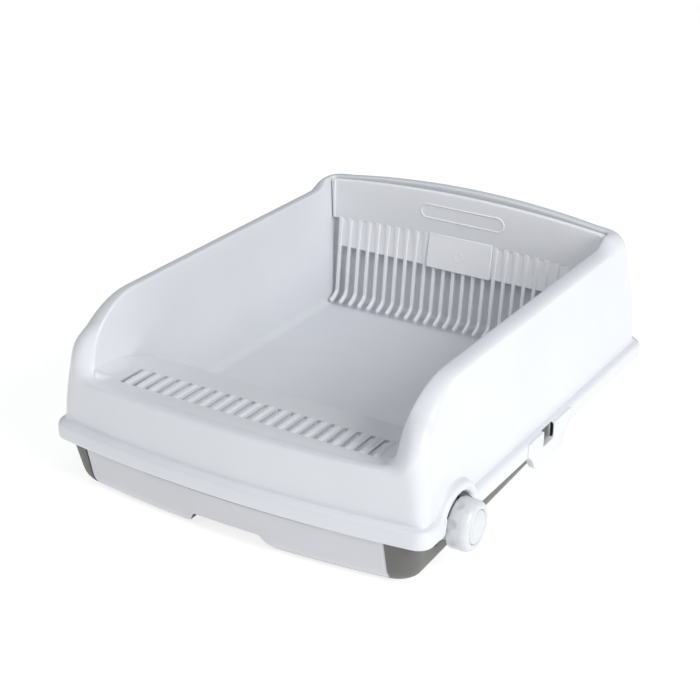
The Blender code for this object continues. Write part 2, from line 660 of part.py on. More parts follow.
def build_base(parent, look):
    rings = [base_ring(BASE_FLOOR, SKIN + 2 * MM)]
    rings += [base_ring(z * MM, SKIN) for z in (9, 18, 35)]
    rings += [base_ring(BASE_TOP, SKIN), base_ring(BASE_TOP, 0.0)]
    rings += [base_ring(z * MM, 0.0) for z in BASE_WALL_HEIGHTS]
    rings.append(base_ring(BASE_BOTTOM, 0.0))
    base = make_object("base_pan", loft(rings), parent, look)
    bay = box((-BAY_HALF, -320 * MM, BASE_FLOOR - 0.05 * MM), (BAY_HALF, -228 * MM, 70 * MM))
    tool("drawer_bay", bay, base, "DIFFERENCE")
    hand = box((-52 * MM, -320 * MM, -5 * MM), (52 * MM, -240 * MM, 8 * MM))
    tool("finger_room", hand, base, "DIFFERENCE")
    low = BASE_FLOOR - 1 * MM
    levels = [low, 9 * MM, 18 * MM, 35 * MM, SUPPORT_TOP]
    wall = [(base_half(BULKHEAD_Y, z) - SKIN / 2, z) for z in levels]
    wall += [(-x, z) for x, z in reversed(wall)]
    tool("bulkhead", prism(wall, "Y", BULKHEAD_Y, BULKHEAD_Y + 3 * MM), base, "UNION")
    ribs = bmesh.new()
    for x in (-95, 0, 95):
        add_box(ribs, ((x - 1.3) * MM, BULKHEAD_Y + 1 * MM, low), ((x + 1.3) * MM, 238 * MM, SUPPORT_TOP))
    tool("floor_ribs", ribs, base, "UNION")
    guides = bmesh.new()
    for side in (-1, 1):
        inner = side * (TRAY_HALF + 1.2 * MM)
        outer = side * (TRAY_HALF + 3.8 * MM)
        add_box(guides, (min(inner, outer), -236 * MM, low), (max(inner, outer), -97 * MM, 20 * MM))
    tool("drawer_guides", guides, base, "UNION")
    post = [(AXIS_Y - 9 * MM, low), (AXIS_Y + 9 * MM, low)] + arc((AXIS_Y, AXIS_Z), 9 * MM, 0, 180, 12)
    tool("left_post", prism(post, "X", POST_X - 3 * MM, POST_X + 3 * MM), base, "UNION")
    boss = [(AXIS_Y - 16 * MM, 30 * MM), (AXIS_Y + 16 * MM, 30 * MM)]
    boss += arc((AXIS_Y, AXIS_Z), 16 * MM, 0, 180, 14)
    tool("right_boss", prism(boss, "X", 192 * MM, 204 * MM), base, "UNION")
    bore = arc((AXIS_Y, AXIS_Z), 7 * MM, 0, 345, 23)
    tool("right_bore", prism(bore, "X", 180 * MM, 215 * MM), base, "DIFFERENCE")
    tool("left_bore", prism(bore, "X", POST_X - 8 * MM, POST_X + 8 * MM), base, "DIFFERENCE")
    lugs = bmesh.new()
    for side in (-1, 1):
        near, far = sorted((side * 192 * MM, side * 206.5 * MM))
        add_box(lugs, (near, LATCH_Y - 9 * MM, 42 * MM), (far, LATCH_Y + 8 * MM, 72 * MM))
    tool("latch_lugs", lugs, base, "UNION")
    for x, y, label in feet_places():
        pocket = arc((x, y), FOOT_RADIUS_CLEAR, 0, 345, 23)
        tool("foot_pocket_" + label, prism(pocket, "Z", -2 * MM, FOOT_HEIGHT + GAP), base, "DIFFERENCE")
    return base


def feet_places():
    return [(x * MM, y * MM, label) for x, y, label in (
        (-150, -205, "front_left"), (150, -205, "front_right"),
        (-145, 205, "rear_left"), (145, 205, "rear_right"))]


def build_feet(parent, look):
    for x, y, label in feet_places():
        shape = arc((x, y), FOOT_RADIUS, 0, 345, 23)
        make_object("foot_" + label, prism(shape, "Z", 0.0, FOOT_HEIGHT), parent, look)


def build_drawer_front(parent, look):
    """The curved white front, flush with the base's corners, with a finger notch below."""
    columns, rows = 20, 6
    low, high = BASE_FLOOR + 0.6 * MM, FLANGE_BOTTOM - 0.8 * MM
    bm = bmesh.new()
    sheets = []
    for depth in (0.0, 3.2 * MM):
        sheet = []
        for j in range(rows + 1):
            z = low + (high - low) * (j / rows) ** 1.5
            row = []
            for i in range(columns + 1):
                x = -DRAWER_HALF + 2 * DRAWER_HALF * i / columns
                row.append(bm.verts.new((x, base_front(x, z) + depth, z)))
            sheet.append(row)
        sheets.append(sheet)
    for sheet in sheets:
        for lower, upper in zip(sheet, sheet[1:]):
            for i in range(columns):
                bm.faces.new((lower[i], lower[i + 1], upper[i + 1], upper[i]))
    front, back = sheets
    for edge in (0, rows):
        for i in range(columns):
            bm.faces.new((front[edge][i], front[edge][i + 1], back[edge][i + 1], back[edge][i]))
    for edge in (0, columns):
        for j in range(rows):
            bm.faces.new((front[j][edge], front[j + 1][edge], back[j + 1][edge], back[j][edge]))
    panel = make_object("drawer_front", bm, parent, look)
    notch = [(-51 * MM, 0.0), (51 * MM, 0.0), (49 * MM, 7 * MM), (42 * MM, 13 * MM), (36 * MM, 15 * MM),
             (-36 * MM, 15 * MM), (-42 * MM, 13 * MM), (-49 * MM, 7 * MM)]
    tool("finger_notch", prism(notch, "Y", -300 * MM, -230 * MM), panel, "DIFFERENCE")
    return panel


def build_tray(parent, look):
    """The open tray behind the drawer front."""
    low, high = BASE_FLOOR + 0.6 * MM, 46 * MM
    front, rear = -238 * MM, TRAY_REAR
    tray = make_object("waste_tray", box((-TRAY_HALF, front, low), (TRAY_HALF, rear, high)), parent, look)
    wall = 2.2 * MM
    inside = box((-TRAY_HALF + wall, front + wall, low + wall),
                 (TRAY_HALF - wall, rear - wall, high + 10 * MM))
    tool("tray_inside", inside, tray, "DIFFERENCE")
    arms = bmesh.new()
    for x in (-110, 110):
        reach = base_front((abs(x) + 20) * MM, 36 * MM) + 3.2 * MM + GAP
        add_box(arms, ((x - 20) * MM, reach, 36 * MM), ((x + 20) * MM, front + 1 * MM, 44 * MM))
    tool("tray_arms", arms, tray, "UNION")
    return tray


# ---------------------------------------------------------------- knob and flap

def build_knob_set(parent, white, steel, grey):
    bore = SHAFT_RADIUS + GAP
    full = KNOB_RADIUS / MM
    profile = [(206, 20), (216, 20.5), (216.6, full - 1), (218.5, full), (231, full), (235, full - 1),
               (238, 23), (239, 20.5), (238.2, 17.6), (232.6, 17.4), (232.6, 2.0), (226.6, 2.0)]
    points = [(x * MM, r * MM) for x, r in profile] + [(226.6 * MM, bore), (206 * MM, bore)]
    knob = make_object("knob", turned(points, 48), parent, white)
    dimples = bmesh.new()
    for i in range(8):
        turn = 2 * math.pi * (i + 0.5) / 8
        place = (222 * MM, 30.5 * MM * math.cos(turn), 30.5 * MM * math.sin(turn))
        made = bmesh.ops.create_icosphere(dimples, subdivisions=2, radius=7 * MM)
        for vert in made["verts"]:
            vert.co.x *= 0.85
            vert.co += type(vert.co)(place)
    tool("knob_dimples", dimples, knob, "DIFFERENCE")
    cap = [(235.2, 0), (235.2, 16.9), (238.3, 17.0), (239.8, 15.6), (240.6, 11), (241, 0)]
    make_object("knob_cap", turned([(x * MM, r * MM) for x, r in cap], 40), parent, white)
    screw = [(216, 0), (217.5, 1.6), (232.65, 1.6), (232.9, 0)]
    make_object("knob_screw", turned([(x * MM, r * MM) for x, r in screw], 16), parent, steel)
    rod = [(SHAFT_LEFT, 0.0), (SHAFT_LEFT, SHAFT_RADIUS), (SHAFT_RIGHT, SHAFT_RADIUS), (SHAFT_RIGHT, 2 * MM),
           (214 * MM, 2 * MM), (214 * MM, 0.0)]
    make_object("knob_shaft", turned(rod, 24), parent, grey)
    ring = [(SHAFT_LEFT + 0.6 * MM, SHAFT_RADIUS + GAP), (SHAFT_LEFT + 0.6 * MM, 7.4 * MM),
            (SHAFT_LEFT + 2 * MM, 7.4 * MM), (SHAFT_LEFT + 2 * MM, SHAFT_RADIUS + GAP)]
    clip = make_object("shaft_clip", turned(ring, 24), parent, steel)
    gap = box((SHAFT_LEFT, -2.4 * MM, -12 * MM), (SHAFT_LEFT + 3 * MM, 2.4 * MM, 0.0))
    tool("clip_gap", gap, clip, "DIFFERENCE")


def build_flap(parent, look):
    bore = SHAFT_RADIUS + GAP
    barrel = [(-FLAP_HALF, bore), (-FLAP_HALF, 7 * MM), (FLAP_HALF, 7 * MM), (FLAP_HALF, bore)]
    flap = make_object("chute_flap", turned(barrel, 24), parent, look)
    plate = box((-FLAP_HALF, 4.6 * MM, -5.4 * MM), (FLAP_HALF, FLAP_REACH, -2.8 * MM))
    tool("flap_plate", plate, flap, "UNION")
    return flap


def build_bushes(parent, look):
    inner, outer = SHAFT_RADIUS + 0.2 * MM, 6.7 * MM
    places = (("bush_left", POST_X - 3.4 * MM, POST_X + 3.4 * MM), ("bush_right", 191 * MM, 204.6 * MM))
    for name, start, end in places:
        ring = [(start, inner), (start, outer), (end, outer), (end, inner)]
        bush = make_object(name, turned(ring, 24), parent, look)
        bush.location = (0.0, AXIS_Y, AXIS_Z)


def main():
    clear_scene()
    white = material("white_shell", WHITE, 0.32)
    step_white = material("step_white", STEP_WHITE, 0.38)
    rake_white = material("rake_white", STEP_WHITE, 0.35)
    taupe = material("taupe_base", TAUPE, 0.45)
    tray_grey = material("tray_grey", TRAY_GREY, 0.45)
    rubber = material("rubber_feet", RUBBER, 0.8)
    steel = material("steel_parts", STEEL, 0.3, 1.0)
    nylon = material("nylon_parts", (0.75, 0.75, 0.72), 0.4)

    frame = empty("box_frame", location=(TUB_MIDDLE_X, 0.0, 0.0))
    build_base(frame, taupe)
    build_feet(frame, rubber)
    build_bushes(frame, nylon)

    tub_frame = empty("tub_lift", frame)
    build_tub(tub_frame, white)
    build_entry_step(tub_frame, step_white)
    rake_frame = empty("rake_slide", tub_frame)
    build_rake(rake_frame, rake_white)

    drawer_frame = empty("drawer_slide", frame)
    build_drawer_front(drawer_frame, white)
    build_tray(drawer_frame, tray_grey)

    knob_frame = empty("knob_turn", frame, (0.0, AXIS_Y, AXIS_Z))
    build_knob_set(knob_frame, white, steel, nylon)
    build_flap(knob_frame, tray_grey)


main()
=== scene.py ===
"""The looks of the cat litter box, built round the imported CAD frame.

Sizes in this file are millimetres from the tub's middle plane along X and from the row frame along Y and Z;
put() turns them into metres in the row frame."""
import math
from functools import lru_cache

import bmesh
import bpy
from mathutils import Matrix, Vector


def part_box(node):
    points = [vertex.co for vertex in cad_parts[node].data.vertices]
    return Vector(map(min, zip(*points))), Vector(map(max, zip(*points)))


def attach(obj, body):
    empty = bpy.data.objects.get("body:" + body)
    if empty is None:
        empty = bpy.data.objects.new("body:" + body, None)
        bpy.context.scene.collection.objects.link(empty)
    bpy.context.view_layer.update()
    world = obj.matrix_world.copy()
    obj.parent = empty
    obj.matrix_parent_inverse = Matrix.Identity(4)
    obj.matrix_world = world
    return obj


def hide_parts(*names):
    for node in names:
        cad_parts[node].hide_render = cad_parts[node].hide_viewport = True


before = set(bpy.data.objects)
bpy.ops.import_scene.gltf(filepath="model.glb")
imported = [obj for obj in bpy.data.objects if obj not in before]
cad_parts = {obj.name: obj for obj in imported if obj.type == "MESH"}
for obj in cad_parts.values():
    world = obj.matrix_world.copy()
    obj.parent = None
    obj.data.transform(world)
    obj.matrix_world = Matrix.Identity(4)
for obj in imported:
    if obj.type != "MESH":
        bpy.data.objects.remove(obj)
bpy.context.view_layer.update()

MM = 0.001
RAKE_LOW, RAKE_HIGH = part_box("rake")
TUB_LOW, TUB_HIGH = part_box("tub")
MIDDLE = (RAKE_LOW.x + RAKE_HIGH.x) / 2
HALF_LENGTH = (TUB_HIGH.y - TUB_LOW.y) / 2 / MM

# Tub
HALF_WIDTH = 220.0
RIM = 198.0
LIP = 125.0
FLANGE_LOW = 53.0
FLOOR = 51.5
SKIN = 2.6
FRONT_BOW = 17.0
REAR_BOW = 9.0
FLANGE_CORNER = 14.0
OVERHANG = 7.0               # of the flange past the outer wall's foot
WALL_FOOT = 77.0
WALL_LEAN = 17.4             # how far the outer walls lean in at the rim: sides, front, rear
FRONT_LEAN = 8.0
REAR_LEAN = 9.0
LEAN_POWER = 1.8             # above 1 the lean grows towards the rim
REAR_LEAN_POWER = 1.3
CORNER_FOOT = 12.0           # outer corner radius at the wall's foot, and what it gains up to the rim
CORNER_GROWTH = 12.0
REAR_CORNER_FOOT = 18.0
REAR_CORNER_GROWTH = 2.0
INNER_FOOT = 60.0
INNER_HALF = 171.5           # inner walls at their foot, and what they gain up to the rim
INNER_HALF_LEAN = 8.5
INNER_FRONT = -262.0
INNER_FRONT_LEAN = 4.0
INNER_REAR = 231.0
INNER_REAR_LEAN = 2.0
INNER_CORNER = 8.0
INNER_REAR_CORNER = 5.5
INNER_FILLET = 9.0
PAST_RIM = 1.05              # the walls' lean runs on above the rim to this share, for the rear arch
DROP_START = -166.0          # where the rim starts to come down towards the front
DROP_RUN = 84.0              # length of its elliptic shoulder
DROP_JOIN = 0.958            # share of that length at which the soft foot takes over
INNER_FRONT_BOW = 12.0
INNER_REAR_BOW = 3.0
REAR_CREST = 222.5           # the rear wall's edge is an arch, this high in the middle
REAR_FALL = 13.0             # and this much lower at REAR_FALL_HALF from the middle
REAR_FALL_HALF = 175.0
REAR_RISE_START = 196.0
REAR_RISE_END = 216.0
CREST_INSET = 2.5            # the rim's highest line, outwards from the inner wall
CREST_DROP = 3.0             # height of the round on the rim's inner edge
FRONT_ROUND = 3.0            # how far the rim's outer round reaches down: front, sides and rear
SIDE_ROUND = 7.0
REAR_ROUND = 24.0
ROUND_BLEND = 30.0           # rise of the rim over which the front's round becomes the sides'
SLOPE_ROUND = 20.0           # and how much further it reaches halfway down the slope
SLOPE_BIAS = 0.7             # below 1 the extra round sits lower on the slope

# Entry step
STEP_TOP = 126.0
STEP_BACK = -172.0
STEP_OVERLAP = 1.4           # of the shelf into the tub's walls
STEP_BACK_CORNER = 24.0
STEP_PLATE = 3.2
SLOTS = 20
SLOT_PITCH = 15.3
SLOT_FRONT = -242.0
SLOT_REAR = -206.0
SLOT_WIDTH = 6.0
STEP_FILLET = 18.0           # round the shelf makes where it climbs the tub's walls
STEP_CLIMB = 8.0             # height of that round

# Knob and chute
AXIS_Y = -195.0
AXIS_Z = 54.0
ARCH = 30.0
ARCH_BAND = 11.0
ARCH_STEPS = 40
SHAFT_SLOT = 8.0
KNOB_RADIUS = 26.0
GRIP_START = 218.4           # the knob's grip along X
GRIP_LENGTH = 12.6
GRIP_STEPS = 24
DENTS = 8
DENT_DEPTH = 1.7
DENT_MIDDLE = 222.0
DENT_HALF_WIDTH = 5.2
DENT_HALF_LENGTH = 6.6
FLAP_HALF = 140.0
FLAP_LENGTH = 48.0
UNDER_FLANGE = 40.0          # cutters from below start here
CHUTE_HALF = 143.0
CHUTE_EAR = 164.0            # half width with the ears that clear the shaft's ends
CHUTE_EAR_HALF = 11.0
CHUTE_FRONT = AXIS_Y - 8
CHUTE_REAR = AXIS_Y + 50
KNOB_OPENING = (190.0, 230.0)    # spans along X that cutters and bearings take
SHAFT_CHANNEL = (139.0, 189.0)
BOSS = (192.0, 204.0)
BOSS_BORE = (180.0, 215.0)
POST = (-158.0, -152.0)
POST_BORE = (-163.0, -147.0)

# Rake
BOARD_Y = 221.0
BOARD_HALF = 175.0
BOARD_LOW = 158.0
BOARD_TOP = 207.0
BOARD_TOP_RISE = 11.0        # both edges of the board are arches
BOARD_LOW_RISE = 5.0
BOARD_COLUMNS = 72
BOARD_GAP = 1.0              # between the board's ends and the tub's walls
TINES = 26
TINE_PITCH = 13.2
TINE_HALF = 2.1
TINE_ROUND = 1.1
TINE_TOP_Y = BOARD_Y + 1.6
TINE_BEND = (BOARD_Y - 6.5, 70.0)
TINE_TIP = (198.0, 57.0)
TINE_TURN = 75.0             # degrees that the hook turns
WEB_TOP = BOARD_LOW + 8      # the band and the plate that hang from the board
WEB_FOOT = 124.0
BAND_HALF = 168.0
BAND_LEAN = 3.7
PLATE_HALF = 42.0
PLATE_FRONT = BOARD_Y - 0.5
PLATE_LEAN = 6.1
MARK_Z = 143.0
MARK_RADIUS = 5.4
GRIP_Z = 192.0
GRIP_HALF = 46.0
GRIP_RADIUS = 8.4

# Latches
LATCH_Y = 4.0
LATCH_FACE = 221.5
LATCH_BACK = 213.5
WINDOW_HALF = 13.0
WINDOW_LOW = 52.5
WINDOW_HIGH = 71.0
CATCH_HALF = 12.5
CATCH_FACE = 213.2
LUG_INNER = 192.0
LUG_FACE = 206.5
LUG_LOW = 42.0
LUG_TOP = 72.0

# Base and drawer
BASE_LOW = 2.0
BASE_FLOOR = 4.8
BASE_TOP = 52.0
BASE_TAPER = 0.08
BASE_CORNER = 20.0
BASE_BULGE = 0.34            # share of its height over which the base's foot rounds out
SUPPORT_TOP = 48.6
SUPPORT_REAR = 238.0
SUPPORT_PITCH = 95.0
BULKHEAD_Y = -98.0
BULKHEAD = 3.0
GUIDE_GAP = 1.2              # between the tray and the rails beside it
GUIDE_WIDTH = 2.6
POST_RADIUS = 9.0            # bearings of the knob's shaft
BOSS_RADIUS = 16.0
BORE_RADIUS = 7.0
FOOT_POCKET = 11.4
DRAWER_HALF = 175.4
DRAWER_THICK = 3.2
DRAWER_EDGE = 0.8
DRAWER_COLUMNS = 150
DRAWER_ROWS = 12
BAY_HALF = 176.1
BAY_REAR = -228.0
IN_FRONT = -320.0            # cutters from the front start here
TRAY_HALF = 147.5
TRAY_FRONT = -238.0
TRAY_REAR = -105.0
TRAY_TOP = 46.0
TRAY_WALL = 2.2
TRAY_FILLET = 6.0
TRAY_CORNER = 9.0
ARM_X = 110.0                # the two arms that join the tray to the drawer's front
ARM_HALF = 20.0
ARM_LOW = 36.0
ARM_TOP = 44.0
NOTCH_HALF = 50.0
NOTCH_HIGH = 14.0
NOTCH_SLANT = 13.0

# Points round an outline lie on rays that leave a core: half its width, its front and its rear
TUB_CORE = (160.0, -225.0, 212.0)
STEP_CORE = (145.0, -224.0, -204.0)
END_STEPS = 26
CORNER_STEPS = 26
SIDE_STEPS = 40
SIDE_BIAS = 1.15             # crowds the sides' points towards the front
RAY_LENGTH = 130.0           # longer than any ray runs
HALVINGS = 26
LEAST_CORNER = 5.0

SHARP_ANGLE = 35
BEVEL_ANGLE = 40
ON_AXIS = 0.01               # a turned profile's radius below this is a pole
CURVE_SHARE = 0.45           # of a side, the most that a rounded corner takes


def put(x, y, z):
    return (x * MM + MIDDLE, y * MM, z * MM)


def smooth_step(value, low, high):
    part = min(max((value - low) / (high - low), 0.0), 1.0)
    return part * part * (3 - 2 * part)


# ---------------------------------------------------------------- meshes

def finish_mesh(name, bm, look, body, sharp=SHARP_ANGLE, bevel=0.0):
    """Makes a piece from a bmesh in metres, smooth shaded with sharp edges kept, riding on a body."""
    bmesh.ops.recalc_face_normals(bm, faces=bm.faces)
    mesh = bpy.data.meshes.new(name)
    bm.to_mesh(mesh)
    bm.free()
    made = bpy.data.objects.new(name, mesh)
    bpy.context.scene.collection.objects.link(made)
    mesh.materials.append(look)
    shade(made, sharp)
    if bevel:
        round_edges(made, bevel)
    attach(made, body)
    return made


def shade(piece, sharp=SHARP_ANGLE):
    piece.data.shade_smooth()
    piece.data.set_sharp_from_angle(angle=math.radians(sharp))


def round_edges(piece, width, segments=2):
    step = piece.modifiers.new("rounded_edges", "BEVEL")
    step.width = width * MM
    step.segments = segments
    step.limit_method = "ANGLE"
    step.angle_limit = math.radians(BEVEL_ANGLE)
    step.harden_normals = False


def settle(piece):
    """Turns the modifiers' result into the piece's own mesh."""
    bpy.context.view_layer.update()
    graph = bpy.context.evaluated_depsgraph_get()
    mesh = bpy.data.meshes.new_from_object(piece.evaluated_get(graph))
    piece.modifiers.clear()
    piece.data = mesh


def carve(piece, tools):
    """Booleans on a piece: tools holds (operation, bmesh) pairs, applied in order."""
    guides = []
    for operation, bm in tools:
        bmesh.ops.recalc_face_normals(bm, faces=bm.faces)
        mesh = bpy.data.meshes.new("guide")
        bm.to_mesh(mesh)
        bm.free()
        guide = bpy.data.objects.new("guide", mesh)
        bpy.context.scene.collection.objects.link(guide)
        step = piece.modifiers.new("carve", "BOOLEAN")
        step.operation = operation
        step.solver = "EXACT"
        step.object = guide
        guides.append(guide)
    settle(piece)
    for guide in guides:
        bpy.data.objects.remove(guide, do_unlink=True)
    shade(piece)


def bridge(bm, first, second):
    """A band of faces between two closed rings."""
    count = len(first)
    for i in range(count):
        after = (i + 1) % count
        bm.faces.new((first[i], first[after], second[after], second[i]))


def loft(rings):
    """A skin through closed rings of (x, y, z) in mm, with the first and last ring filled."""
    bm = bmesh.new()
    made = [[bm.verts.new(put(*place)) for place in ring] for ring in rings]
    for first, second in zip(made, made[1:]):
        bridge(bm, first, second)
    bm.faces.new(made[0])
    bm.faces.new(made[-1])
    return bm


def box(low, high):
    bm = bmesh.new()
    add_box(bm, low, high)
    return bm


def add_box(bm, low, high):
    corners = [(x, y, z) for x in (low[0], high[0]) for y in (low[1], high[1]) for z in (low[2], high[2])]
    points = [bm.verts.new(put(*corner)) for corner in corners]
    for loop in ((0, 1, 3, 2), (4, 6, 7, 5), (0, 4, 5, 1), (2, 3, 7, 6), (0, 2, 6, 4), (1, 5, 7, 3)):
        bm.faces.new([points[i] for i in loop])


def prism(shape, axis, start, end):
    """A prism of a flat shape: (y, z) pairs along X, (x, z) along Y, (x, y) along Z."""
    place = "XYZ".index(axis)
    return loft([[(*pair[:place], along, *pair[place:]) for pair in shape] for along in (start, end)])


def arc(centre, radius, start, end, steps):
    angles = [math.radians(start + (end - start) * i / steps) for i in range(steps + 1)]
    return [(centre[0] + radius * math.cos(a), centre[1] + radius * math.sin(a)) for a in angles]


def rounded_polygon(corners, radius, steps=5):
    """The corners of a flat shape, each replaced by a short curve."""
    result = []
    count = len(corners)
    for i, corner in enumerate(corners):
        here = Vector(corner)
        before = Vector(corners[i - 1]) - here
        after = Vector(corners[(i + 1) % count]) - here
        cut = min(radius, before.length * CURVE_SHARE, after.length * CURVE_SHARE)
        first = here + before.normalized() * cut
        last = here + after.normalized() * cut
        for j in range(steps + 1):
            t = j / steps
            result.append(tuple((1 - t) ** 2 * first + 2 * t * (1 - t) * here + t * t * last))
    return result


def turned(profile, sides, axis="X", centre=(0.0, 0.0), dent=None):
    """A solid turned about X at (y, z) or about Z at (x, y); the profile holds (along, radius) pairs.

    dent(along, turn) is taken off the radius."""
    bm = bmesh.new()
    rings = []
    for along, radius in profile:
        ring = []
        pole = radius <= ON_AXIS
        for i in range(1 if pole else sides):
            turn = 2 * math.pi * i / sides
            out = radius - (dent(along, turn) if dent and not pole else 0.0)
            a, b = centre[0] + out * math.cos(turn), centre[1] + out * math.sin(turn)
            ring.append(bm.verts.new(put(along, a, b) if axis == "X" else put(a, b, along)))
        rings.append(ring)
    pairs = list(zip(rings, rings[1:]))
    if len(rings[0]) > 1 and len(rings[-1]) > 1:
        pairs.append((rings[-1], rings[0]))
    for first, second in pairs:
        if len(first) == 1 or len(second) == 1:
            pole, ring = (first[0], second) if len(first) == 1 else (second[0], first)
            for i in range(sides):
                bm.faces.new((pole, ring[i], ring[(i + 1) % sides]))
        else:
            bridge(bm, first, second)
    return bm


# ---------------------------------------------------------------- outlines

@lru_cache(maxsize=None)
def rays(core):
    """(x, y, dx, dy) of the rays, anticlockwise from the middle of the front."""
    half, front, rear = core
    count = END_STEPS // 2
    right = [(half * i / count, front, 0.0, -1.0) for i in range(count)]
    for i in range(CORNER_STEPS):
        turn = math.pi / 2 * i / CORNER_STEPS
        right.append((half, front, math.sin(turn), -math.cos(turn)))
    for i in range(SIDE_STEPS):
        right.append((half, front + (rear - front) * (i / SIDE_STEPS) ** SIDE_BIAS, 1.0, 0.0))
    for i in range(CORNER_STEPS):
        turn = math.pi / 2 * i / CORNER_STEPS
        right.append((half, rear, math.cos(turn), math.sin(turn)))
    right += [(half * (1 - i / count), rear, 0.0, 1.0) for i in range(count + 1)]
    return right + [(-x, y, -dx, dy) for x, y, dx, dy in reversed(right[1:-1])]


def depth(size, x, y):
    """How far a place lies inside a bowed rectangle with round corners."""
    half, front, rear, corner, rear_corner, front_bow, rear_bow = size
    side = half - abs(x)
    share = (x / half) ** 2
    end, radius = y - front - front_bow * share, corner
    if y > (front + rear) / 2:
        end, radius = rear - rear_bow * share - y, rear_corner
    if side >= radius or end >= radius:
        return min(side, end)
    return radius - math.hypot(radius - side, radius - end)


def reach(ray, size):
    """Where a ray meets the edge of a size."""
    x, y, dx, dy = ray
    near, far = 0.0, RAY_LENGTH
    for _ in range(HALVINGS):
        middle = (near + far) / 2
        if depth(size, x + dx * middle, y + dy * middle) > 0:
            near = middle
        else:
            far = middle
    return x + dx * near, y + dy * near


def shrunk(size, inset):
    """A size moved inwards all round."""
    half, front, rear, corner, rear_corner, front_bow, rear_bow = size
    corner = max(corner - inset, LEAST_CORNER)
    rear_corner = max(rear_corner - inset, LEAST_CORNER)
    return half - inset, front + inset, rear - inset, corner, rear_corner, front_bow, rear_bow


def outline(size, taper=0.0, core=TUB_CORE):
    """The edge of a size as (x, y) places; taper narrows it towards the rear by that share."""
    places = [reach(ray, size) for ray in rays(core)]
    front, span = size[1], size[2] - size[1]
    return [(x * (1 - taper * (y - front) / span), y) for x, y in places]


def drop_left(x, y, half):
    """Share of the height between lip and rim that is left near a place on the inner wall.

    Going forward the rim comes down an elliptic shoulder and then a soft foot that fades into the lip."""
    along = (DROP_START - y + half - abs(x)) / DROP_RUN
    if along <= 0:
        return 1.0
    if along < DROP_JOIN:
        return math.sqrt(1 - along ** 2)
    foot = 1 - DROP_JOIN ** 2
    return math.sqrt(foot) * math.exp(-(along - DROP_JOIN) * DROP_JOIN / foot)


def rim_height(x, y, half):
    """Height of the tub's rim: level at the sides, down to the lip in front and up to an arch at the rear."""
    level = LIP + (RIM - LIP) * drop_left(x, y, half)
    arch = REAR_CREST - REAR_FALL * (x / REAR_FALL_HALF) ** 2
    return level + (arch - RIM) * smooth_step(y, REAR_RISE_START, REAR_RISE_END)


def rim_round(y, crest):
    """How far the rim's outer round reaches down below its crest."""
    level = FRONT_ROUND + (SIDE_ROUND - FRONT_ROUND) * smooth_step(crest, LIP, LIP + ROUND_BLEND)
    share = min((crest - LIP) / (RIM - LIP), 1.0) ** SLOPE_BIAS
    level += 4 * share * (1 - share) * SLOPE_ROUND
    return level + (REAR_ROUND - level) * smooth_step(y, REAR_RISE_START, REAR_RISE_END)


def wall_part(z, foot):
    """Share of the way from a wall's foot up to the rim."""
    return min(max((z - foot) / (RIM - foot), 0.0), PAST_RIM)


def outer_wall(z):
    """Half width, front, rear, corner radii and bows of the outer wall at a height."""
    part = wall_part(z, WALL_FOOT)
    half = HALF_WIDTH - OVERHANG - WALL_LEAN * part ** LEAN_POWER
    front = -HALF_LENGTH + OVERHANG + FRONT_LEAN * part ** LEAN_POWER
    rear = HALF_LENGTH - OVERHANG - REAR_LEAN * part ** REAR_LEAN_POWER
    corner = CORNER_FOOT + CORNER_GROWTH * part
    rear_corner = REAR_CORNER_FOOT + REAR_CORNER_GROWTH * part
    return half, front, rear, corner, rear_corner, FRONT_BOW, REAR_BOW


def inner_wall(z):
    part = wall_part(z, INNER_FOOT)
    half = INNER_HALF + INNER_HALF_LEAN * part
    front = INNER_FRONT + INNER_FRONT_LEAN * (1 - part)
    rear = INNER_REAR - INNER_REAR_LEAN * (1 - part)
    return half, front, rear, INNER_CORNER, INNER_REAR_CORNER, INNER_FRONT_BOW, INNER_REAR_BOW


# ---------------------------------------------------------------- materials

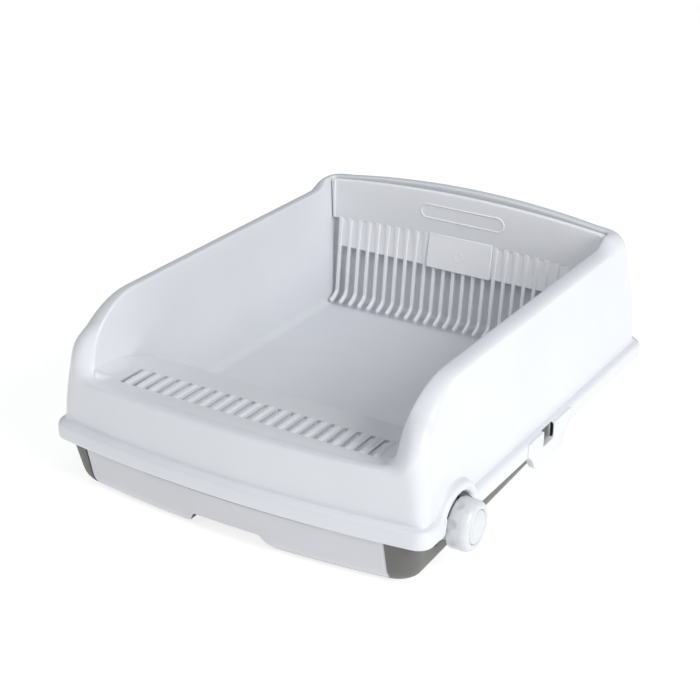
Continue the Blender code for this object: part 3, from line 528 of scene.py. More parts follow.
def plastic(name, colour, roughness, grain=0.25, grain_size=1.1, patches=0.02, wear=0.05, specular=0.5):
    """Moulded plastic: a fine spark-eroded grain, slow changes in tone and gloss, and rubbed edges."""
    made = bpy.data.materials.new(name)
    made.use_nodes = True
    nodes, links = made.node_tree.nodes, made.node_tree.links
    shader = nodes["Principled BSDF"]
    shader.inputs["IOR"].default_value = 1.49
    shader.inputs["Specular IOR Level"].default_value = specular
    place = nodes.new("ShaderNodeTexCoord")

    def noise(scale, detail, rough=0.5):
        made_noise = nodes.new("ShaderNodeTexNoise")
        made_noise.inputs["Scale"].default_value = scale
        made_noise.inputs["Detail"].default_value = detail
        made_noise.inputs["Roughness"].default_value = rough
        links.new(place.outputs["Object"], made_noise.inputs["Vector"])
        return made_noise.outputs["Fac"]

    def mapped(source, low, high, from_low=0.3, from_high=0.7):
        step = nodes.new("ShaderNodeMapRange")
        step.inputs["From Min"].default_value = from_low
        step.inputs["From Max"].default_value = from_high
        step.inputs["To Min"].default_value = low
        step.inputs["To Max"].default_value = high
        links.new(source, step.inputs["Value"])
        return step.outputs["Result"]

    def mixed(factor, first, second):
        step = nodes.new("ShaderNodeMix")
        step.data_type = "RGBA"
        links.new(factor, step.inputs[0])
        for socket, value in ((step.inputs[6], first), (step.inputs[7], second)):
            if isinstance(value, tuple):
                socket.default_value = (*value, 1.0)
            else:
                links.new(value, socket)
        return step.outputs[2]

    darker = tuple(c * (1 - patches) for c in colour)
    lighter = tuple(min(c * (1 + patches), 1.0) for c in colour)
    tone = mixed(mapped(noise(9.0, 3.0), 0.0, 1.0), darker, lighter)
    specks = mixed(mapped(noise(520.0, 2.0), 0.0, patches * 2.0, 0.62, 0.78), tone, darker)
    geometry = nodes.new("ShaderNodeNewGeometry")
    edge = mapped(geometry.outputs["Pointiness"], 0.0, wear * 4, 0.52, 0.62)
    rubbed = tuple(min(c * 1.06 + 0.02, 1.0) for c in colour)
    links.new(mixed(edge, specks, rubbed), shader.inputs["Base Color"])

    gloss = nodes.new("ShaderNodeMath")
    gloss.operation = "ADD"
    links.new(mapped(noise(26.0, 4.0, 0.6), roughness - 0.05, roughness + 0.05), gloss.inputs[0])
    links.new(mapped(noise(1400.0, 1.0), -0.03, 0.03), gloss.inputs[1])
    links.new(gloss.outputs[0], shader.inputs["Roughness"])

    fine = nodes.new("ShaderNodeBump")
    fine.inputs["Strength"].default_value = grain
    fine.inputs["Distance"].default_value = 0.00012
    links.new(noise(1000.0 / grain_size, 3.0, 0.6), fine.inputs["Height"])
    slow = nodes.new("ShaderNodeBump")
    slow.inputs["Strength"].default_value = 0.12
    slow.inputs["Distance"].default_value = 0.0012
    links.new(noise(18.0, 2.0), slow.inputs["Height"])
    links.new(slow.outputs["Normal"], fine.inputs["Normal"])
    links.new(fine.outputs["Normal"], shader.inputs["Normal"])
    return made


def metal(name, colour, roughness):
    made = plastic(name, colour, roughness, grain=0.12, grain_size=0.4, patches=0.05)
    made.node_tree.nodes["Principled BSDF"].inputs["Metallic"].default_value = 1.0
    return made


WHITE = plastic("white_shell", (0.715, 0.73, 0.765), 0.36)
WHITE_STEP = plastic("white_step", (0.69, 0.705, 0.735), 0.42)
# the rake's white is lighter than the shell's: painted light on the board and tines, which the tub's walls
# keep in shade
RAKE_WHITE_PAINTED_LIGHT = plastic("white_rake", (0.89, 0.895, 0.91), 0.42)
# the drawer's white is darker than the shell's: painted shade on the drawer's front
DRAWER_WHITE_PAINTED_SHADE = plastic("white_drawer", (0.60, 0.60, 0.63), 0.34)
WHITE_KNOB = plastic("white_knob", (0.655, 0.67, 0.69), 0.30, grain=0.15)
TAUPE = plastic("taupe_plastic", (0.117, 0.116, 0.111), 0.46, grain=0.5, patches=0.06, wear=0.08)
GREY = plastic("grey_tray", (0.50, 0.50, 0.49), 0.46, grain=0.4, patches=0.04)
NYLON = plastic("nylon", (0.70, 0.70, 0.67), 0.38)
RUBBER = plastic("rubber", (0.03, 0.03, 0.032), 0.75, grain=0.6, grain_size=0.6, patches=0.15, specular=0.3)
STEEL = metal("steel", (0.58, 0.58, 0.59), 0.30)


# ---------------------------------------------------------------- tub

FLANGE = (HALF_WIDTH, -HALF_LENGTH, HALF_LENGTH, FLANGE_CORNER, FLANGE_CORNER, FRONT_BOW, REAR_BOW)
FLANGE_PROFILE = ((7.3, 75.4), (7.4, 74.2), (6.9, 73.2), (5.6, 72.6), (3.9, 72.0), (2.2, 70.9), (0.9, 69.3),
                  (0.2, 67.2), (0, 64.5), (0, 60), (0, 56.5), (0.3, 54.6), (1.0, 53.4), (2.2, FLANGE_LOW),
                  (3.4, 53.4))    # (inset, z) from the outer wall's foot round the flange's bead
RIM_EDGE = outline(inner_wall(RIM))
CRESTS = [rim_height(x, y, inner_wall(RIM)[0]) for x, y in RIM_EDGE]
SHOULDERS = [crest - rim_round(place[1], crest) for crest, place in zip(CRESTS, RIM_EDGE)]


def level_ring(size, inset, z):
    return [(x, y, z) for x, y in outline(shrunk(size, inset))]


def wall_ring(wall, inset, share, low, tops, drop=0.0):
    """A ring on a wall, at a share of the height between low and the wall's top less a drop."""
    ring = []
    for ray, top in zip(rays(TUB_CORE), tops):
        z = low + (top - drop - low) * share
        x, y = reach(ray, shrunk(wall(z), inset))
        ring.append((x, y, z))
    return ring


def rim_rings(crest, foot, steps):
    """Rings of a quarter round that runs outwards and down from the crest to the foot."""
    rings = []
    for i in range(1, steps):
        turn = math.pi / 2 * i / steps
        across, down = math.sin(turn), 1 - math.cos(turn)
        ring = []
        for high, low in zip(crest, foot):
            x, y = high[0] + (low[0] - high[0]) * across, high[1] + (low[1] - high[1]) * across
            ring.append((x, y, high[2] + (low[2] - high[2]) * down))
        rings.append(ring)
    return rings


def tub_rings():
    """Every ring of the tub's skin, from the floor over the rim to the flange and back underneath."""
    rings = []
    foot = inner_wall(INNER_FOOT)
    fillet_steps, wall_steps, crest_steps, round_steps, hollow_steps = 6, 14, 5, 12, 4
    for i in range(fillet_steps + 1):
        turn = math.pi / 2 * i / fillet_steps
        inset, rise = INNER_FILLET * (1 - math.sin(turn)), INNER_FILLET * (1 - math.cos(turn))
        rings.append(level_ring(foot, inset, FLOOR + rise))
    for i in range(1, wall_steps + 1):
        rings.append(wall_ring(inner_wall, 0.0, i / wall_steps, FLOOR + INNER_FILLET, CRESTS, CREST_DROP))
    for i in range(1, crest_steps + 1):
        turn = math.pi / 2 * i / crest_steps
        out, drop = CREST_INSET * (1 - math.cos(turn)), CREST_DROP * (1 - math.sin(turn))
        rings.append(wall_ring(inner_wall, -out, 1.0, INNER_FOOT, CRESTS, drop))
    shoulder = wall_ring(outer_wall, 0.0, 1.0, WALL_FOOT, SHOULDERS)
    rings += rim_rings(rings[-1], shoulder, round_steps)
    for i in range(wall_steps, -1, -1):
        rings.append(wall_ring(outer_wall, 0.0, i / wall_steps, WALL_FOOT, SHOULDERS))
    rings += [level_ring(FLANGE, inset, z) for inset, z in FLANGE_PROFILE]

    hollow, hollow_drop, hollow_top = SKIN + 1, 2.0, 68.0
    rings.append(level_ring(FLANGE, hollow, hollow_top))
    for share in (0.0, 0.5):
        rings.append(wall_ring(outer_wall, hollow, share, WALL_FOOT - 4, SHOULDERS, hollow_drop))
    hollow_foot = wall_ring(outer_wall, hollow, 1.0, WALL_FOOT, SHOULDERS, hollow_drop)
    hollow_crest = wall_ring(inner_wall, -CREST_INSET - 1, 1.0, INNER_FOOT, CRESTS, SKIN)
    rings += [hollow_foot] + rim_rings(hollow_crest, hollow_foot, hollow_steps)[::-1] + [hollow_crest]
    for share in (1.0, 0.5, 0.0):
        rings.append(wall_ring(inner_wall, -SKIN, share, INNER_FOOT, CRESTS, 2 * SKIN))
    rings.append(level_ring(foot, 0.5, FLOOR + 1.5))
    rings.append(level_ring(foot, INNER_FILLET, FLOOR - 2.5))
    return rings


def arch_bead():
    """The rounded band that carries the flange's bead up over the knob."""
    across = ((-5.5, 204), (-5.5, 215.5), (-5.0, 217.6), (-3.6, 219.0), (-1.5, 219.7), (1.5, 219.7),
              (3.4, 219.1), (4.8, 217.8), (5.4, 215.8), (6.2, 213.6), (8.2, 211.6), (8.2, 204))
    centre = ARCH + ARCH_BAND / 2
    foot = FLANGE_LOW + 0.4
    rings = []
    for z in (foot, AXIS_Z):
        rings.append([(x, AXIS_Y + centre + out, z) for out, x in across])
    for i in range(1, ARCH_STEPS):
        turn = math.pi * i / ARCH_STEPS
        rings.append([(x, AXIS_Y + (centre + out) * math.cos(turn), AXIS_Z + (centre + out) * math.sin(turn))
                      for out, x in across])
    for z in (AXIS_Z, foot):
        rings.append([(x, AXIS_Y - centre - out, z) for out, x in across])
    return loft(rings)


def latch_tab(side):
    """The tab that hangs from the flange, with slanted ends."""
    shape = ((-50, 70.5), (-50, 56), (-41, 50), (-33, 38), (-28, 33), (34, 33), (39, 38), (45, 50), (58, 56),
             (58, 70.5))
    corner = 4.0
    points = rounded_polygon([(LATCH_Y + y, z) for y, z in shape], corner)
    return prism(points, "X", side * LATCH_BACK, side * LATCH_FACE)


def window_cut(side):
    low, high = sorted((side * (LATCH_FACE - 23.5), side * (LATCH_FACE + 8.5)))
    return box((low, LATCH_Y - WINDOW_HALF, WINDOW_LOW), (high, LATCH_Y + WINDOW_HALF, WINDOW_HIGH))


def half_round(radius, foot, steps):
    """A flat (y, z) shape: half a circle over the knob's axis, with straight sides down to a foot."""
    top = arc((AXIS_Y, AXIS_Z), radius, 0, 180, steps)
    return top + [(AXIS_Y - radius, foot), (AXIS_Y + radius, foot)]


def build_tub():
    tub = finish_mesh("tub_shell", loft(tub_rings()), WHITE, "tub")
    opening = half_round(ARCH, UNDER_FLANGE, ARCH_STEPS)
    slot = half_round(SHAFT_SLOT, UNDER_FLANGE, 12)
    ear_rear, ear_front = AXIS_Y + CHUTE_EAR_HALF, AXIS_Y - CHUTE_EAR_HALF
    chute = [(-CHUTE_HALF, CHUTE_FRONT), (CHUTE_HALF, CHUTE_FRONT), (CHUTE_HALF, CHUTE_REAR),
             (-CHUTE_HALF, CHUTE_REAR), (-CHUTE_HALF, ear_rear), (-CHUTE_EAR, ear_rear),
             (-CHUTE_EAR, ear_front), (-CHUTE_HALF, ear_front)]
    carve(tub, [
        ("DIFFERENCE", prism(opening, "X", *KNOB_OPENING)), ("DIFFERENCE", prism(slot, "X", *SHAFT_CHANNEL)),
        ("DIFFERENCE", prism(chute, "Z", UNDER_FLANGE, 66)),
        ("DIFFERENCE", window_cut(-1)), ("DIFFERENCE", window_cut(1))])
    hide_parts("tub")
    bead = finish_mesh("arch_bead", arch_bead(), WHITE, "tub")
    for side, label in ((-1, "left"), (1, "right")):
        tab = finish_mesh("latch_tab_" + label, latch_tab(side), WHITE, "tub")
        carve(tab, [("DIFFERENCE", window_cut(side))])
        round_edges(tab, 0.9, 3)
        settle(tab)
        shade(tab)


def step_outline(inset):
    """The shelf's edge, moved inwards: it follows the tub's walls, and its rear edge is straight."""
    half, front = inner_wall(STEP_TOP)[:2]
    past = STEP_OVERLAP - inset
    corner, back_corner = INNER_CORNER - inset * 0.2, STEP_BACK_CORNER - inset * 0.4
    size = (half + past, front - past, STEP_BACK - inset, corner, back_corner, INNER_FRONT_BOW, 0.0)
    return outline(size, core=STEP_CORE)


def step_ring(inset):
    """A ring of the shelf's top: it climbs the side walls in a round and dips to the lip in front."""
    ring = []
    share = (1 - inset / STEP_FILLET) ** 2.2
    half = inner_wall(STEP_TOP)[0]
    for (x, y), edge in zip(step_outline(inset), step_outline(0.0)):
        from_back = STEP_BACK - edge[1]
        room = min(max(drop_left(*edge, half) * (RIM - LIP) - 4, 0.0) / STEP_CLIMB, 1.0)
        climb = STEP_CLIMB * room * smooth_step(from_back, 4.0, 40.0)
        dip = 1.3 * (1 - room) * (1 - smooth_step(inset, 0.0, 11.0)) * smooth_step(from_back, 20.0, 60.0)
        round_off = 1.2 * (1 - min(inset / 2.6, 1.0)) ** 2 if from_back < 14 else 0.0
        ring.append((x, y, STEP_TOP + climb * share - dip - round_off))
    return ring


def build_step():
    rings = [step_ring(inset) for inset in (STEP_FILLET, 15.0, 12.0, 9.0, 6.8, 4.6, 2.6, 1.2, 0.4, 0.0)]
    rings += [[(x, y, STEP_TOP - STEP_PLATE) for x, y in step_outline(inset)] for inset in (0.2, 9.0)]
    step = finish_mesh("step_plate", loft(rings), WHITE_STEP, "tub")
    slots = bmesh.new()
    for x in spread(SLOTS, SLOT_PITCH):
        left, right = x - SLOT_WIDTH / 2, x + SLOT_WIDTH / 2
        corners = [(left, SLOT_FRONT), (right, SLOT_FRONT), (right, SLOT_REAR), (left, SLOT_REAR)]
        merge(slots, prism(rounded_polygon(corners, 2.6, 4), "Z", STEP_TOP - 8, STEP_TOP + 8))
    carve(step, [("DIFFERENCE", slots)])
    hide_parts("entry_step")
    half = inner_wall(STEP_TOP)[0] - 26.0
    low, high = (-half, STEP_BACK - 3.8, STEP_TOP - 22), (half, STEP_BACK - 1, STEP_TOP - 1.5)
    skirt = finish_mesh("step_skirt", box(low, high), WHITE_STEP, "tub", bevel=0.8)
    ribs = bmesh.new()
    for x in spread(SLOTS, SLOT_PITCH):
        add_rib(ribs, x + SLOT_WIDTH / 2 + 0.2)
    raised = finish_mesh("step_ribs", ribs, WHITE_STEP, "tub", sharp=60)


def spread(count, pitch):
    """Places of a row of like things, centred on the middle plane."""
    return [(i - (count - 1) / 2) * pitch for i in range(count)]


def merge(bm, extra):
    """Adds a bmesh to another and frees it."""
    mesh = bpy.data.meshes.new("merged")
    extra.to_mesh(mesh)
    extra.free()
    bm.from_mesh(mesh)
    bpy.data.meshes.remove(mesh)


def add_rib(bm, x):
    """One raised rib beside a slot: steep at the slot, then sloping away, with soft ends."""
    across = ((0.0, -0.8), (0.05, 0.45), (0.5, 1.05), (1.4, 1.5), (2.8, 1.65), (4.2, 1.4), (5.4, 0.9),
              (6.2, 0.35), (6.7, -0.05), (6.8, -0.8))
    middle = 3.4
    past = 0.5
    soft = 0.14
    sunk = 0.15
    rings = []
    for t in (0.0, 0.012, 0.04, 0.08, soft, 0.5, 1 - soft, 0.92, 0.96, 0.988, 1.0):
        rise = math.sqrt(max(1 - (1 - min(min(t, 1 - t) / soft, 1.0)) ** 2, 0.0))
        squeeze = 0.82 + 0.18 * rise
        y = SLOT_FRONT - past + (SLOT_REAR - SLOT_FRONT + 2 * past) * t
        rings.append([(x + middle + (dx - middle) * squeeze, y,
                       STEP_TOP + (dz if dz < 0 else dz * rise - sunk * (1 - rise))) for dx, dz in across])
    merge(bm, loft(rings))


# ---------------------------------------------------------------- rake

def tine_centre(part, high):
    """Centre line of a tine: straight down to the bend for half its parts, then a short hook forward."""
    bend_y, bend_z = TINE_BEND
    if part <= 0.5:
        share = part / 0.5
        return TINE_TOP_Y + (bend_y - TINE_TOP_Y) * share, high + (bend_z - high) * share
    full = math.radians(TINE_TURN)
    turn = (part - 0.5) / 0.5 * full
    y = bend_y + (TINE_TIP[0] - bend_y) * (1 - math.cos(turn)) / (1 - math.cos(full))
    return y, bend_z + (TINE_TIP[1] - bend_z) * math.sin(turn) / math.sin(full)


def add_tine(bm, x):
    """One tine: it widens into the board at its top, and its tip is rounded."""
    thick = 2.2
    corners = [(-TINE_HALF, -thick), (TINE_HALF, -thick), (TINE_HALF, thick), (-TINE_HALF, thick)]
    section = rounded_polygon(corners, TINE_ROUND, 3)
    hook_steps, tip, least, root = 14, 0.03, 0.16, 0.12
    parts = [0.0, 0.04, 0.08, 0.14, 0.25, 0.4] + [0.5 + 0.5 * i / hook_steps for i in range(hook_steps + 1)]
    high = arched(x, BOARD_LOW, BOARD_LOW_RISE) + 1.0
    rings = []
    for part in parts:
        y, z = tine_centre(part, high)
        before = tine_centre(max(part - tip, 0.0), high)
        after = tine_centre(min(part + tip, 1.0), high)
        along = math.atan2(after[1] - before[1], after[0] - before[0])
        out_y, out_z = math.sin(along), -math.cos(along)
        slim = math.sqrt(max(1 - (1 - min((1 - part) / tip, 1.0)) ** 2, least))
        wide = 1 + 0.5 * (1 - smooth_step(part, 0.0, root))
        rings.append([(x + dx * slim * wide, y + out_y * out * slim, z + out_z * out * slim)
                      for dx, out in section])
    merge(bm, loft(rings))


def arched(x, level, rise):
    """A level at the board's ends that rises in an arch to its middle."""
    return level + rise * (1 - (x / BOARD_HALF) ** 2)


def board_skin():
    """The rake's board with rounded edges; its top edge rolls over to the back."""
    profile = ((1.0, 0, 0.0), (0.25, 0, 0.35), (0.0, 0, 1.2), (0.0, 1, -3.2), (0.2, 1, -1.9), (0.9, 1, -0.8),
               (2.0, 1, -0.15), (3.0, 1, 0.0), (3.8, 1, -0.5), (4.0, 1, -1.6), (4.0, 0, 1.2), (3.7, 0, 0.3),
               (3.0, 0, 0.0))     # (back from the front face, at the upper edge or not, up from that edge)
    rings = []
    for i in range(BOARD_COLUMNS + 1):
        across = 2 * i / BOARD_COLUMNS - 1
        x = BOARD_HALF * across
        low, high = arched(x, BOARD_LOW, BOARD_LOW_RISE), arched(x, BOARD_TOP, BOARD_TOP_RISE)
        ring = []
        for back, upper, offset in profile:
            z = (high if upper else low) + offset
            ring.append(((inner_wall(z)[0] - BOARD_GAP) * across, BOARD_Y + back, z))
        rings.append(ring)
    return loft(rings)


def racetrack(radius):
    """The outline of the grip: two half circles joined by straight sides."""
    return arc((GRIP_HALF, GRIP_Z), radius, -90, 90, 14) + arc((-GRIP_HALF, GRIP_Z), radius, 90, 270, 14)


def ridge_loop(path_at, width, rise, base_y):
    """A rounded ridge along a closed (x, z) path family: path_at(offset) gives the path at a distance."""
    sunk = 0.8
    rings = []
    for share in (-1.0, -0.7, -0.35, 0.0, 0.35, 0.7, 1.0):
        lift = rise * math.sqrt(max(1 - share * share, 0.0))
        rings.append([(x, base_y - lift, z) for x, z in path_at(share * width / 2)])
    rings += [[(x, base_y + sunk, z) for x, z in path_at(side * width / 2)] for side in (1, -1)]
    bm = bmesh.new()
    made = [[bm.verts.new(put(*place)) for place in ring] for ring in rings]
    for first, second in zip(made, made[1:] + made[:1]):
        bridge(bm, first, second)
    return bm


def leaning_web(half, front, lean, thick):
    """A flat web below the board, its foot further forward than its top."""
    back = front + thick
    shape = [(front, WEB_TOP), (back, WEB_TOP), (back - lean, WEB_FOOT), (front - lean, WEB_FOOT)]
    return prism(shape, "X", -half, half)


def build_rake():
    board = finish_mesh("rake_board", board_skin(), RAKE_WHITE_PAINTED_LIGHT, "rake", sharp=50)
    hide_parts("rake")
    tines = bmesh.new()
    for x in spread(TINES, TINE_PITCH):
        add_tine(tines, x)
    comb = finish_mesh("rake_tines", tines, RAKE_WHITE_PAINTED_LIGHT, "rake", sharp=60)
    web = leaning_web(BAND_HALF, BOARD_Y + 1.2, BAND_LEAN, 2.2)
    band = finish_mesh("rake_band", web, RAKE_WHITE_PAINTED_LIGHT, "rake", bevel=0.6)
    web = leaning_web(PLATE_HALF, PLATE_FRONT, PLATE_LEAN, 4)
    plate = finish_mesh("rake_plate", web, RAKE_WHITE_PAINTED_LIGHT, "rake", bevel=0.9)
    ring = ridge_loop(lambda off: arc((0, MARK_Z), MARK_RADIUS + off, 0, 345, 23), 1.2, 0.4, PLATE_FRONT)
    for vert in ring.verts:
        vert.co.y -= PLATE_LEAN * MM * (WEB_TOP - vert.co.z / MM) / (WEB_TOP - WEB_FOOT)
    mark = finish_mesh("plate_ring", ring, RAKE_WHITE_PAINTED_LIGHT, "rake", sharp=60)
    ring = ridge_loop(lambda off: racetrack(GRIP_RADIUS + off), 2.4, 0.9, BOARD_Y)
    grip = finish_mesh("grip_ring", ring, RAKE_WHITE_PAINTED_LIGHT, "rake", sharp=60)
    for side, label in ((-1, "left"), (1, "right")):
        near, far = sorted((side * (BOARD_HALF - 1.6), side * (BOARD_HALF + 1.2)))
        low, high = (near, BOARD_Y - 1.6, BOARD_LOW + 0.5), (far, BOARD_Y + 3.6, BOARD_TOP - 1)
        rib = finish_mesh("rake_edge_" + label, box(low, high), RAKE_WHITE_PAINTED_LIGHT, "rake", bevel=0.8)


# ---------------------------------------------------------------- base and drawer

FEET = ("foot_front_left", "foot_front_right", "foot_rear_left", "foot_rear_right")


def base_size(z):
    """The base's outline at a height: its foot rounds out, then its walls flare slightly."""
    part = (z - BASE_LOW) / (BASE_TOP - BASE_LOW)
    bulge = math.sqrt(max(1 - (1 - min(max(part, 0.0) / BASE_BULGE, 1.0)) ** 2, 0.0))
    half = 190 + 9 * bulge + 6 * part
    front = -255 - 11 * bulge - 12 * part
    rear = 244 + 10 * bulge + 11 * part
    return half, front, rear, BASE_CORNER, BASE_CORNER, FRONT_BOW, REAR_BOW


def base_ring(z, inset):
    return [(x, y, z) for x, y in outline(shrunk(base_size(z), inset), BASE_TAPER)]


def base_front(x, z):
    """Y of the base's front at a place across it."""
    half, front = base_size(z)[:2]
    return front + FRONT_BOW * (x / half) ** 2


def base_half(y, z):
    """Half the base's width at a place along it."""
    half, front, rear = base_size(z)[:3]
    return half * (1 - BASE_TAPER * (y - front) / (rear - front))


def foot_place(node):
    """Centre of a foot, (x, y) in mm."""
    low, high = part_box(node)
    centre = (low + high) / 2
    return (centre.x - MIDDLE) / MM, centre.y / MM


def build_base():
    edge = BASE_TOP - 0.6
    rings = [base_ring(BASE_FLOOR, SKIN + 2)]
    rings += [base_ring(z, SKIN) for z in (6.5, 9, 13, 18, 26, 35, 44, edge)]
    rings += [base_ring(BASE_TOP, SKIN - 0.5), base_ring(BASE_TOP, 0.5)]
    levels = (edge, 44, 35, 27, 20, 15, 11, 8, 6, 4.6, 3.6, 2.9, 2.4, 2.1, BASE_LOW)
    rings += [base_ring(z, 0.0) for z in levels]
    base = finish_mesh("base_shell", loft(rings), TAUPE, "base")
    low = BASE_FLOOR - 1
    wall = [(base_half(BULKHEAD_Y, z) - SKIN / 2, z) for z in (low, 9, 18, 35, SUPPORT_TOP)]
    wall += [(-x, z) for x, z in reversed(wall)]
    inner = bmesh.new()
    for x in (-SUPPORT_PITCH, 0, SUPPORT_PITCH):
        add_box(inner, (x - SKIN / 2, BULKHEAD_Y + 1, low), (x + SKIN / 2, SUPPORT_REAR, SUPPORT_TOP))
    guides = bmesh.new()
    lugs = bmesh.new()
    catches = bmesh.new()
    for side in (-1, 1):
        rail = TRAY_HALF + GUIDE_GAP
        near, far = sorted((side * rail, side * (rail + GUIDE_WIDTH)))
        add_box(guides, (near, TRAY_FRONT + 2, low), (far, BULKHEAD_Y + 1, 20))
        near, far = sorted((side * LUG_INNER, side * LUG_FACE))
        add_box(lugs, (near, LATCH_Y - CATCH_HALF, LUG_LOW), (far, LATCH_Y + CATCH_HALF, LUG_TOP))
        near, far = sorted((side * (LUG_FACE - 1.5), side * CATCH_FACE))
        add_box(catches, (near, LATCH_Y - CATCH_HALF, WINDOW_LOW + 1.5),
                (far, LATCH_Y + CATCH_HALF, WINDOW_HIGH - 2))
    axis = (AXIS_Y, AXIS_Z)
    post = [(AXIS_Y - POST_RADIUS, low), (AXIS_Y + POST_RADIUS, low)] + arc(axis, POST_RADIUS, 0, 180, 20)
    boss = [(AXIS_Y - BOSS_RADIUS, 30), (AXIS_Y + BOSS_RADIUS, 30)] + arc(axis, BOSS_RADIUS, 0, 180, 24)
    bore = arc(axis, BORE_RADIUS, 0, 350, 35)
    pockets = bmesh.new()
    for node in FEET:
        merge(pockets, prism(arc(foot_place(node), FOOT_POCKET, 0, 348, 29), "Z", -2, 3.3))
    carve(base, [
        ("DIFFERENCE", box((-BAY_HALF, IN_FRONT, BASE_FLOOR - 0.05), (BAY_HALF, BAY_REAR, 70))),
        ("DIFFERENCE", box((-NOTCH_HALF - 2, IN_FRONT, -5), (NOTCH_HALF + 2, -240, 8))),
        ("UNION", prism(wall, "Y", BULKHEAD_Y, BULKHEAD_Y + BULKHEAD)), ("UNION", inner), ("UNION", guides),
        ("UNION", prism(post, "X", *POST)), ("UNION", prism(boss, "X", *BOSS)),
        ("DIFFERENCE", prism(bore, "X", *BOSS_BORE)), ("DIFFERENCE", prism(bore, "X", *POST_BORE)),
        ("UNION", lugs), ("UNION", catches), ("DIFFERENCE", pockets)])
    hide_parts("base_pan")


def notch_height(x):
    """Lower edge of the drawer front above its usual level: a shallow notch with slanted, rounded ends."""
    return NOTCH_HIGH * smooth_step(NOTCH_HALF - abs(x), 0.0, NOTCH_SLANT) ** 0.8


def drawer_column(x):
    """A ring of the drawer's front at one place across: its front face, upper edge, back and lower edge."""
    low, high = BASE_FLOOR + 0.4, FLANGE_LOW - 0.8
    foot = low + notch_height(x)
    side = min(DRAWER_HALF - abs(x), 2.0) / 2.0
    curl = 1 - math.sqrt(max(1 - (1 - side) ** 2, 0.0))

    def level(row):
        return foot + DRAWER_EDGE + (high - DRAWER_EDGE - foot - DRAWER_EDGE) * (row / DRAWER_ROWS) ** 1.4

    ring = [(x, base_front(x, level(row)) + curl, level(row)) for row in range(DRAWER_ROWS + 1)]
    top = base_front(x, high)
    ring += [(x, top + 0.3 + curl, high - 0.25), (x, top + 0.9, high)]
    ring += [(x, base_front(x, level(row)) + DRAWER_THICK, level(row)) for row in range(DRAWER_ROWS, -1, -4)]
    edge = base_front(x, foot)
    ring += [(x, edge + DRAWER_THICK - 0.5, foot + 0.1), (x, edge + 0.9, foot)]
    ring.append((x, edge + 0.3 + curl, foot + 0.25))
    return ring


def tray_ring(inset, z):
    half, front, rear = TRAY_HALF - inset, TRAY_FRONT + inset, TRAY_REAR - inset
    corners = [(-half, front), (half, front), (half, rear), (-half, rear)]
    return [(x, y, z) for x, y in rounded_polygon(corners, max(TRAY_CORNER - inset, 2), 8)]


def build_drawer():
    across = [2 * i / DRAWER_COLUMNS for i in range(DRAWER_COLUMNS + 1)]
    rings = [drawer_column(-DRAWER_HALF + DRAWER_HALF * share) for share in across]
    face = finish_mesh("drawer_face", loft(rings), DRAWER_WHITE_PAINTED_SHADE, "drawer", sharp=50)
    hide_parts("drawer_front")

    low = BASE_FLOOR + 0.6
    floor = low + TRAY_WALL
    rings = [tray_ring(TRAY_WALL + TRAY_FILLET, floor)]
    for turn in (0.4, 0.8, 1.2, 1.57):
        inset, rise = TRAY_FILLET * (1 - math.sin(turn)), TRAY_FILLET * (1 - math.cos(turn))
        rings.append(tray_ring(TRAY_WALL + inset, floor + rise))
    rings += [tray_ring(TRAY_WALL, 30), tray_ring(TRAY_WALL, TRAY_TOP - 1)]
    rings += [tray_ring(TRAY_WALL - 0.5, TRAY_TOP - 0.2), tray_ring(0.5, TRAY_TOP)]
    outside = ((0, TRAY_TOP - 0.8), (0, 20), (0, low + 4), (1.2, low + 1.2), (4, low))
    rings += [tray_ring(inset, z) for inset, z in outside]
    tray = finish_mesh("tray_shell", loft(rings), GREY, "drawer")
    arms = bmesh.new()
    for x in (-ARM_X, ARM_X):
        back = base_front(ARM_X + ARM_HALF, ARM_LOW) + DRAWER_THICK + 0.3
        add_box(arms, (x - ARM_HALF, back, ARM_LOW), (x + ARM_HALF, TRAY_FRONT + 1, ARM_TOP))
    carve(tray, [("UNION", arms)])
    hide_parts("waste_tray")


# ---------------------------------------------------------------- knob, flap, small parts

def knob_dent(along, turn):
    """How deep the oval dimples round the knob's grip are at a place."""
    step = 2 * math.pi / DENTS
    away = (turn / step - 0.5) % 1.0
    away = min(away, 1 - away) * step * KNOB_RADIUS
    share = (away / DENT_HALF_WIDTH) ** 2 + ((along - DENT_MIDDLE) / DENT_HALF_LENGTH) ** 2
    return DENT_DEPTH * max(1 - share, 0.0) ** 1.25


def build_knob():
    axis = (AXIS_Y, AXIS_Z)
    profile = [(206, 4.3), (206, 19.6), (206.6, 20.2), (215.2, 20.4), (215.8, 21.4), (216.1, 23.4),
               (216.6, 24.8), (217.4, 25.6), (GRIP_START, KNOB_RADIUS)]
    profile += [(GRIP_START + GRIP_LENGTH * i / GRIP_STEPS, KNOB_RADIUS) for i in range(1, GRIP_STEPS + 1)]
    profile += [(232.6, 25.85), (234.2, 25.4), (235.6, 24.8), (236.9, 23.9), (237.9, 22.8), (238.6, 21.5),
                (239.0, 20.2), (239.0, 19.0), (238.7, 18.2), (238.0, 17.6), (232.6, 17.4), (232.6, 2.0),
                (226.6, 2.0), (226.6, 4.3)]
    body = turned(profile, 144, "X", axis, knob_dent)
    knob = finish_mesh("knob_body", body, WHITE_KNOB, "knob", sharp=50)
    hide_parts("knob")
    profile = [(235.2, 0), (235.2, 16.9), (237.6, 17.05), (238.2, 16.9), (238.7, 16.4), (239.0, 15.6),
               (239.4, 14.6), (239.15, 14.2), (239.15, 13.7), (239.6, 13.3), (240.2, 11.0), (240.6, 8.0),
               (240.9, 4.0), (241, 0)]
    cap = finish_mesh("knob_top", turned(profile, 96, "X", axis), WHITE_KNOB, "knob", sharp=50)
    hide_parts("knob_cap")


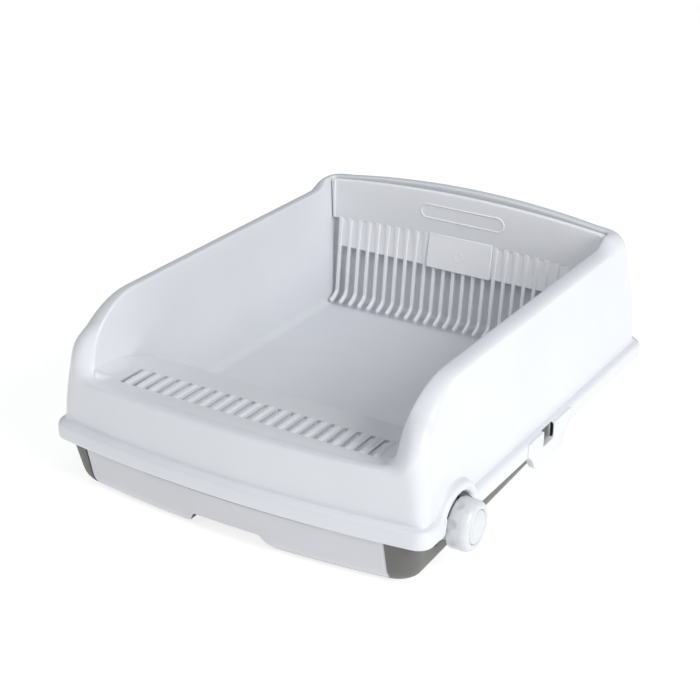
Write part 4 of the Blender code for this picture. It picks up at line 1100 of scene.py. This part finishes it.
def build_flap():
    half = FLAP_HALF
    barrel = [(-half, 4.3), (-half, 6.5), (-half + 0.5, 7), (half - 0.5, 7), (half, 6.5), (half, 4.3)]
    flap = finish_mesh("flap_panel", turned(barrel, 48, "X", (AXIS_Y, AXIS_Z)), GREY, "knob")
    corners = [(-half, 4.6), (half, 4.6), (half, FLAP_LENGTH), (-half, FLAP_LENGTH)]
    shape = [(x, AXIS_Y + y) for x, y in rounded_polygon(corners, 4.0)]
    carve(flap, [("UNION", prism(shape, "Z", AXIS_Z - 5.4, AXIS_Z - 2.8))])
    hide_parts("chute_flap")


def build_feet():
    profile = [(0.5, 0.0), (0.5, 7.0), (0.1, 7.4), (0.0, 8.0), (0.0, 10.0), (0.25, 10.7), (0.8, 11.0),
               (3.0, 11.0), (3.0, 0.0)]
    for node in FEET:
        name = node.replace("foot_", "foot_pad_")
        foot = finish_mesh(name, turned(profile, 48, "Z", foot_place(node)), RUBBER, "base")
        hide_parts(node)


def finish_cad_nodes():
    """The CAD pieces whose shape is right get only a material."""
    looks = (("knob_shaft", NYLON), ("bush_left", NYLON), ("bush_right", NYLON), ("knob_screw", STEEL),
             ("shaft_clip", STEEL))
    for node, look in looks:
        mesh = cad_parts[node].data
        mesh.materials.clear()
        mesh.materials.append(look)


# ---------------------------------------------------------------- stage, light, camera

FLOOR_REACH = 60.0           # metres, so that no view sees the floor end
FLOOR_GREY = 0.42
FLOOR_GLOW = 0.775
LIGHT_DISTANCE = 5.0
SKY_STRENGTH = 0.28


def build_stage():
    bm = bmesh.new()
    bmesh.ops.create_grid(bm, x_segments=8, y_segments=8, size=FLOOR_REACH)
    mesh = bpy.data.meshes.new("floor")
    bm.to_mesh(mesh)
    bm.free()
    floor = bpy.data.objects.new("floor", mesh)
    bpy.context.scene.collection.objects.link(floor)
    look = bpy.data.materials.new("pale_floor")
    look.use_nodes = True
    shader = look.node_tree.nodes["Principled BSDF"]
    shader.inputs["Base Color"].default_value = (FLOOR_GREY, FLOOR_GREY, FLOOR_GREY, 1.0)
    shader.inputs["Roughness"].default_value = 0.9
    shader.inputs["Specular IOR Level"].default_value = 0.1
    shader.inputs["Emission Color"].default_value = (1.0, 1.0, 1.0, 1.0)
    shader.inputs["Emission Strength"].default_value = FLOOR_GLOW
    mesh.materials.append(look)


def area_light(name, azimuth, elevation, size, value, colour=(1.0, 1.0, 1.0)):
    """A square softbox aimed at the object; value is how bright it makes a white face turned to it."""
    turn, rise = math.radians(azimuth), math.radians(elevation)
    towards = Vector((math.sin(turn) * math.cos(rise), -math.cos(turn) * math.cos(rise), math.sin(rise)))
    data = bpy.data.lights.new(name, "AREA")
    data.shape = "SQUARE"
    data.size = size
    data.energy = value * math.pi ** 2 * LIGHT_DISTANCE ** 2
    data.color = colour
    light = bpy.data.objects.new(name, data)
    light.location = Vector((0.0, 0.0, 0.1)) + towards * LIGHT_DISTANCE
    light.rotation_euler = towards.to_track_quat("Z", "Y").to_euler()
    bpy.context.scene.collection.objects.link(light)


def build_light():
    area_light("key", 80, 29, 2.8, 0.745)
    area_light("front_fill", 0, 50, 3.4, 0.23, (0.98, 0.98, 1.0))
    area_light("left_fill", -70, 45, 3.4, 0.08, (0.95, 0.97, 1.0))
    world = bpy.data.worlds.new("studio")
    bpy.context.scene.world = world
    world.use_nodes = True
    sky = world.node_tree.nodes["Background"]
    sky.inputs["Color"].default_value = (0.93, 0.96, 1.0, 1.0)
    sky.inputs["Strength"].default_value = SKY_STRENGTH
    bpy.context.scene.view_settings.view_transform = "Standard"


def build_camera():
    """The camera stands in front, to the right and above, turned slightly clockwise."""
    aim, distance = Vector((MIDDLE, 0.019, 0.080)), 1.82185
    azimuth, elevation, roll = math.radians(29.46), math.radians(24.85), math.radians(1.5)
    back = Vector((math.sin(azimuth) * math.cos(elevation), -math.cos(azimuth) * math.cos(elevation),
                   math.sin(elevation)))
    level = Vector((math.cos(azimuth), math.sin(azimuth), 0.0))
    rise = back.cross(level)
    right = level * math.cos(roll) + rise * math.sin(roll)
    up = rise * math.cos(roll) - level * math.sin(roll)
    data = bpy.data.cameras.new("camera")
    data.sensor_width = 36.0
    data.lens = 84.6
    data.shift_x = -0.0337
    data.shift_y = 0.0214
    data.clip_start = 0.05
    data.clip_end = 50.0
    camera = bpy.data.objects.new("camera", data)
    bpy.context.scene.collection.objects.link(camera)
    place = aim + back * distance
    camera.matrix_world = Matrix.Translation(place) @ Matrix((right, up, back)).transposed().to_4x4()
    bpy.context.scene.camera = camera


build_camera()
build_stage()
build_light()
build_tub()
build_step()
build_rake()
build_base()
build_drawer()
build_knob()
build_flap()
build_feet()
finish_cad_nodes()
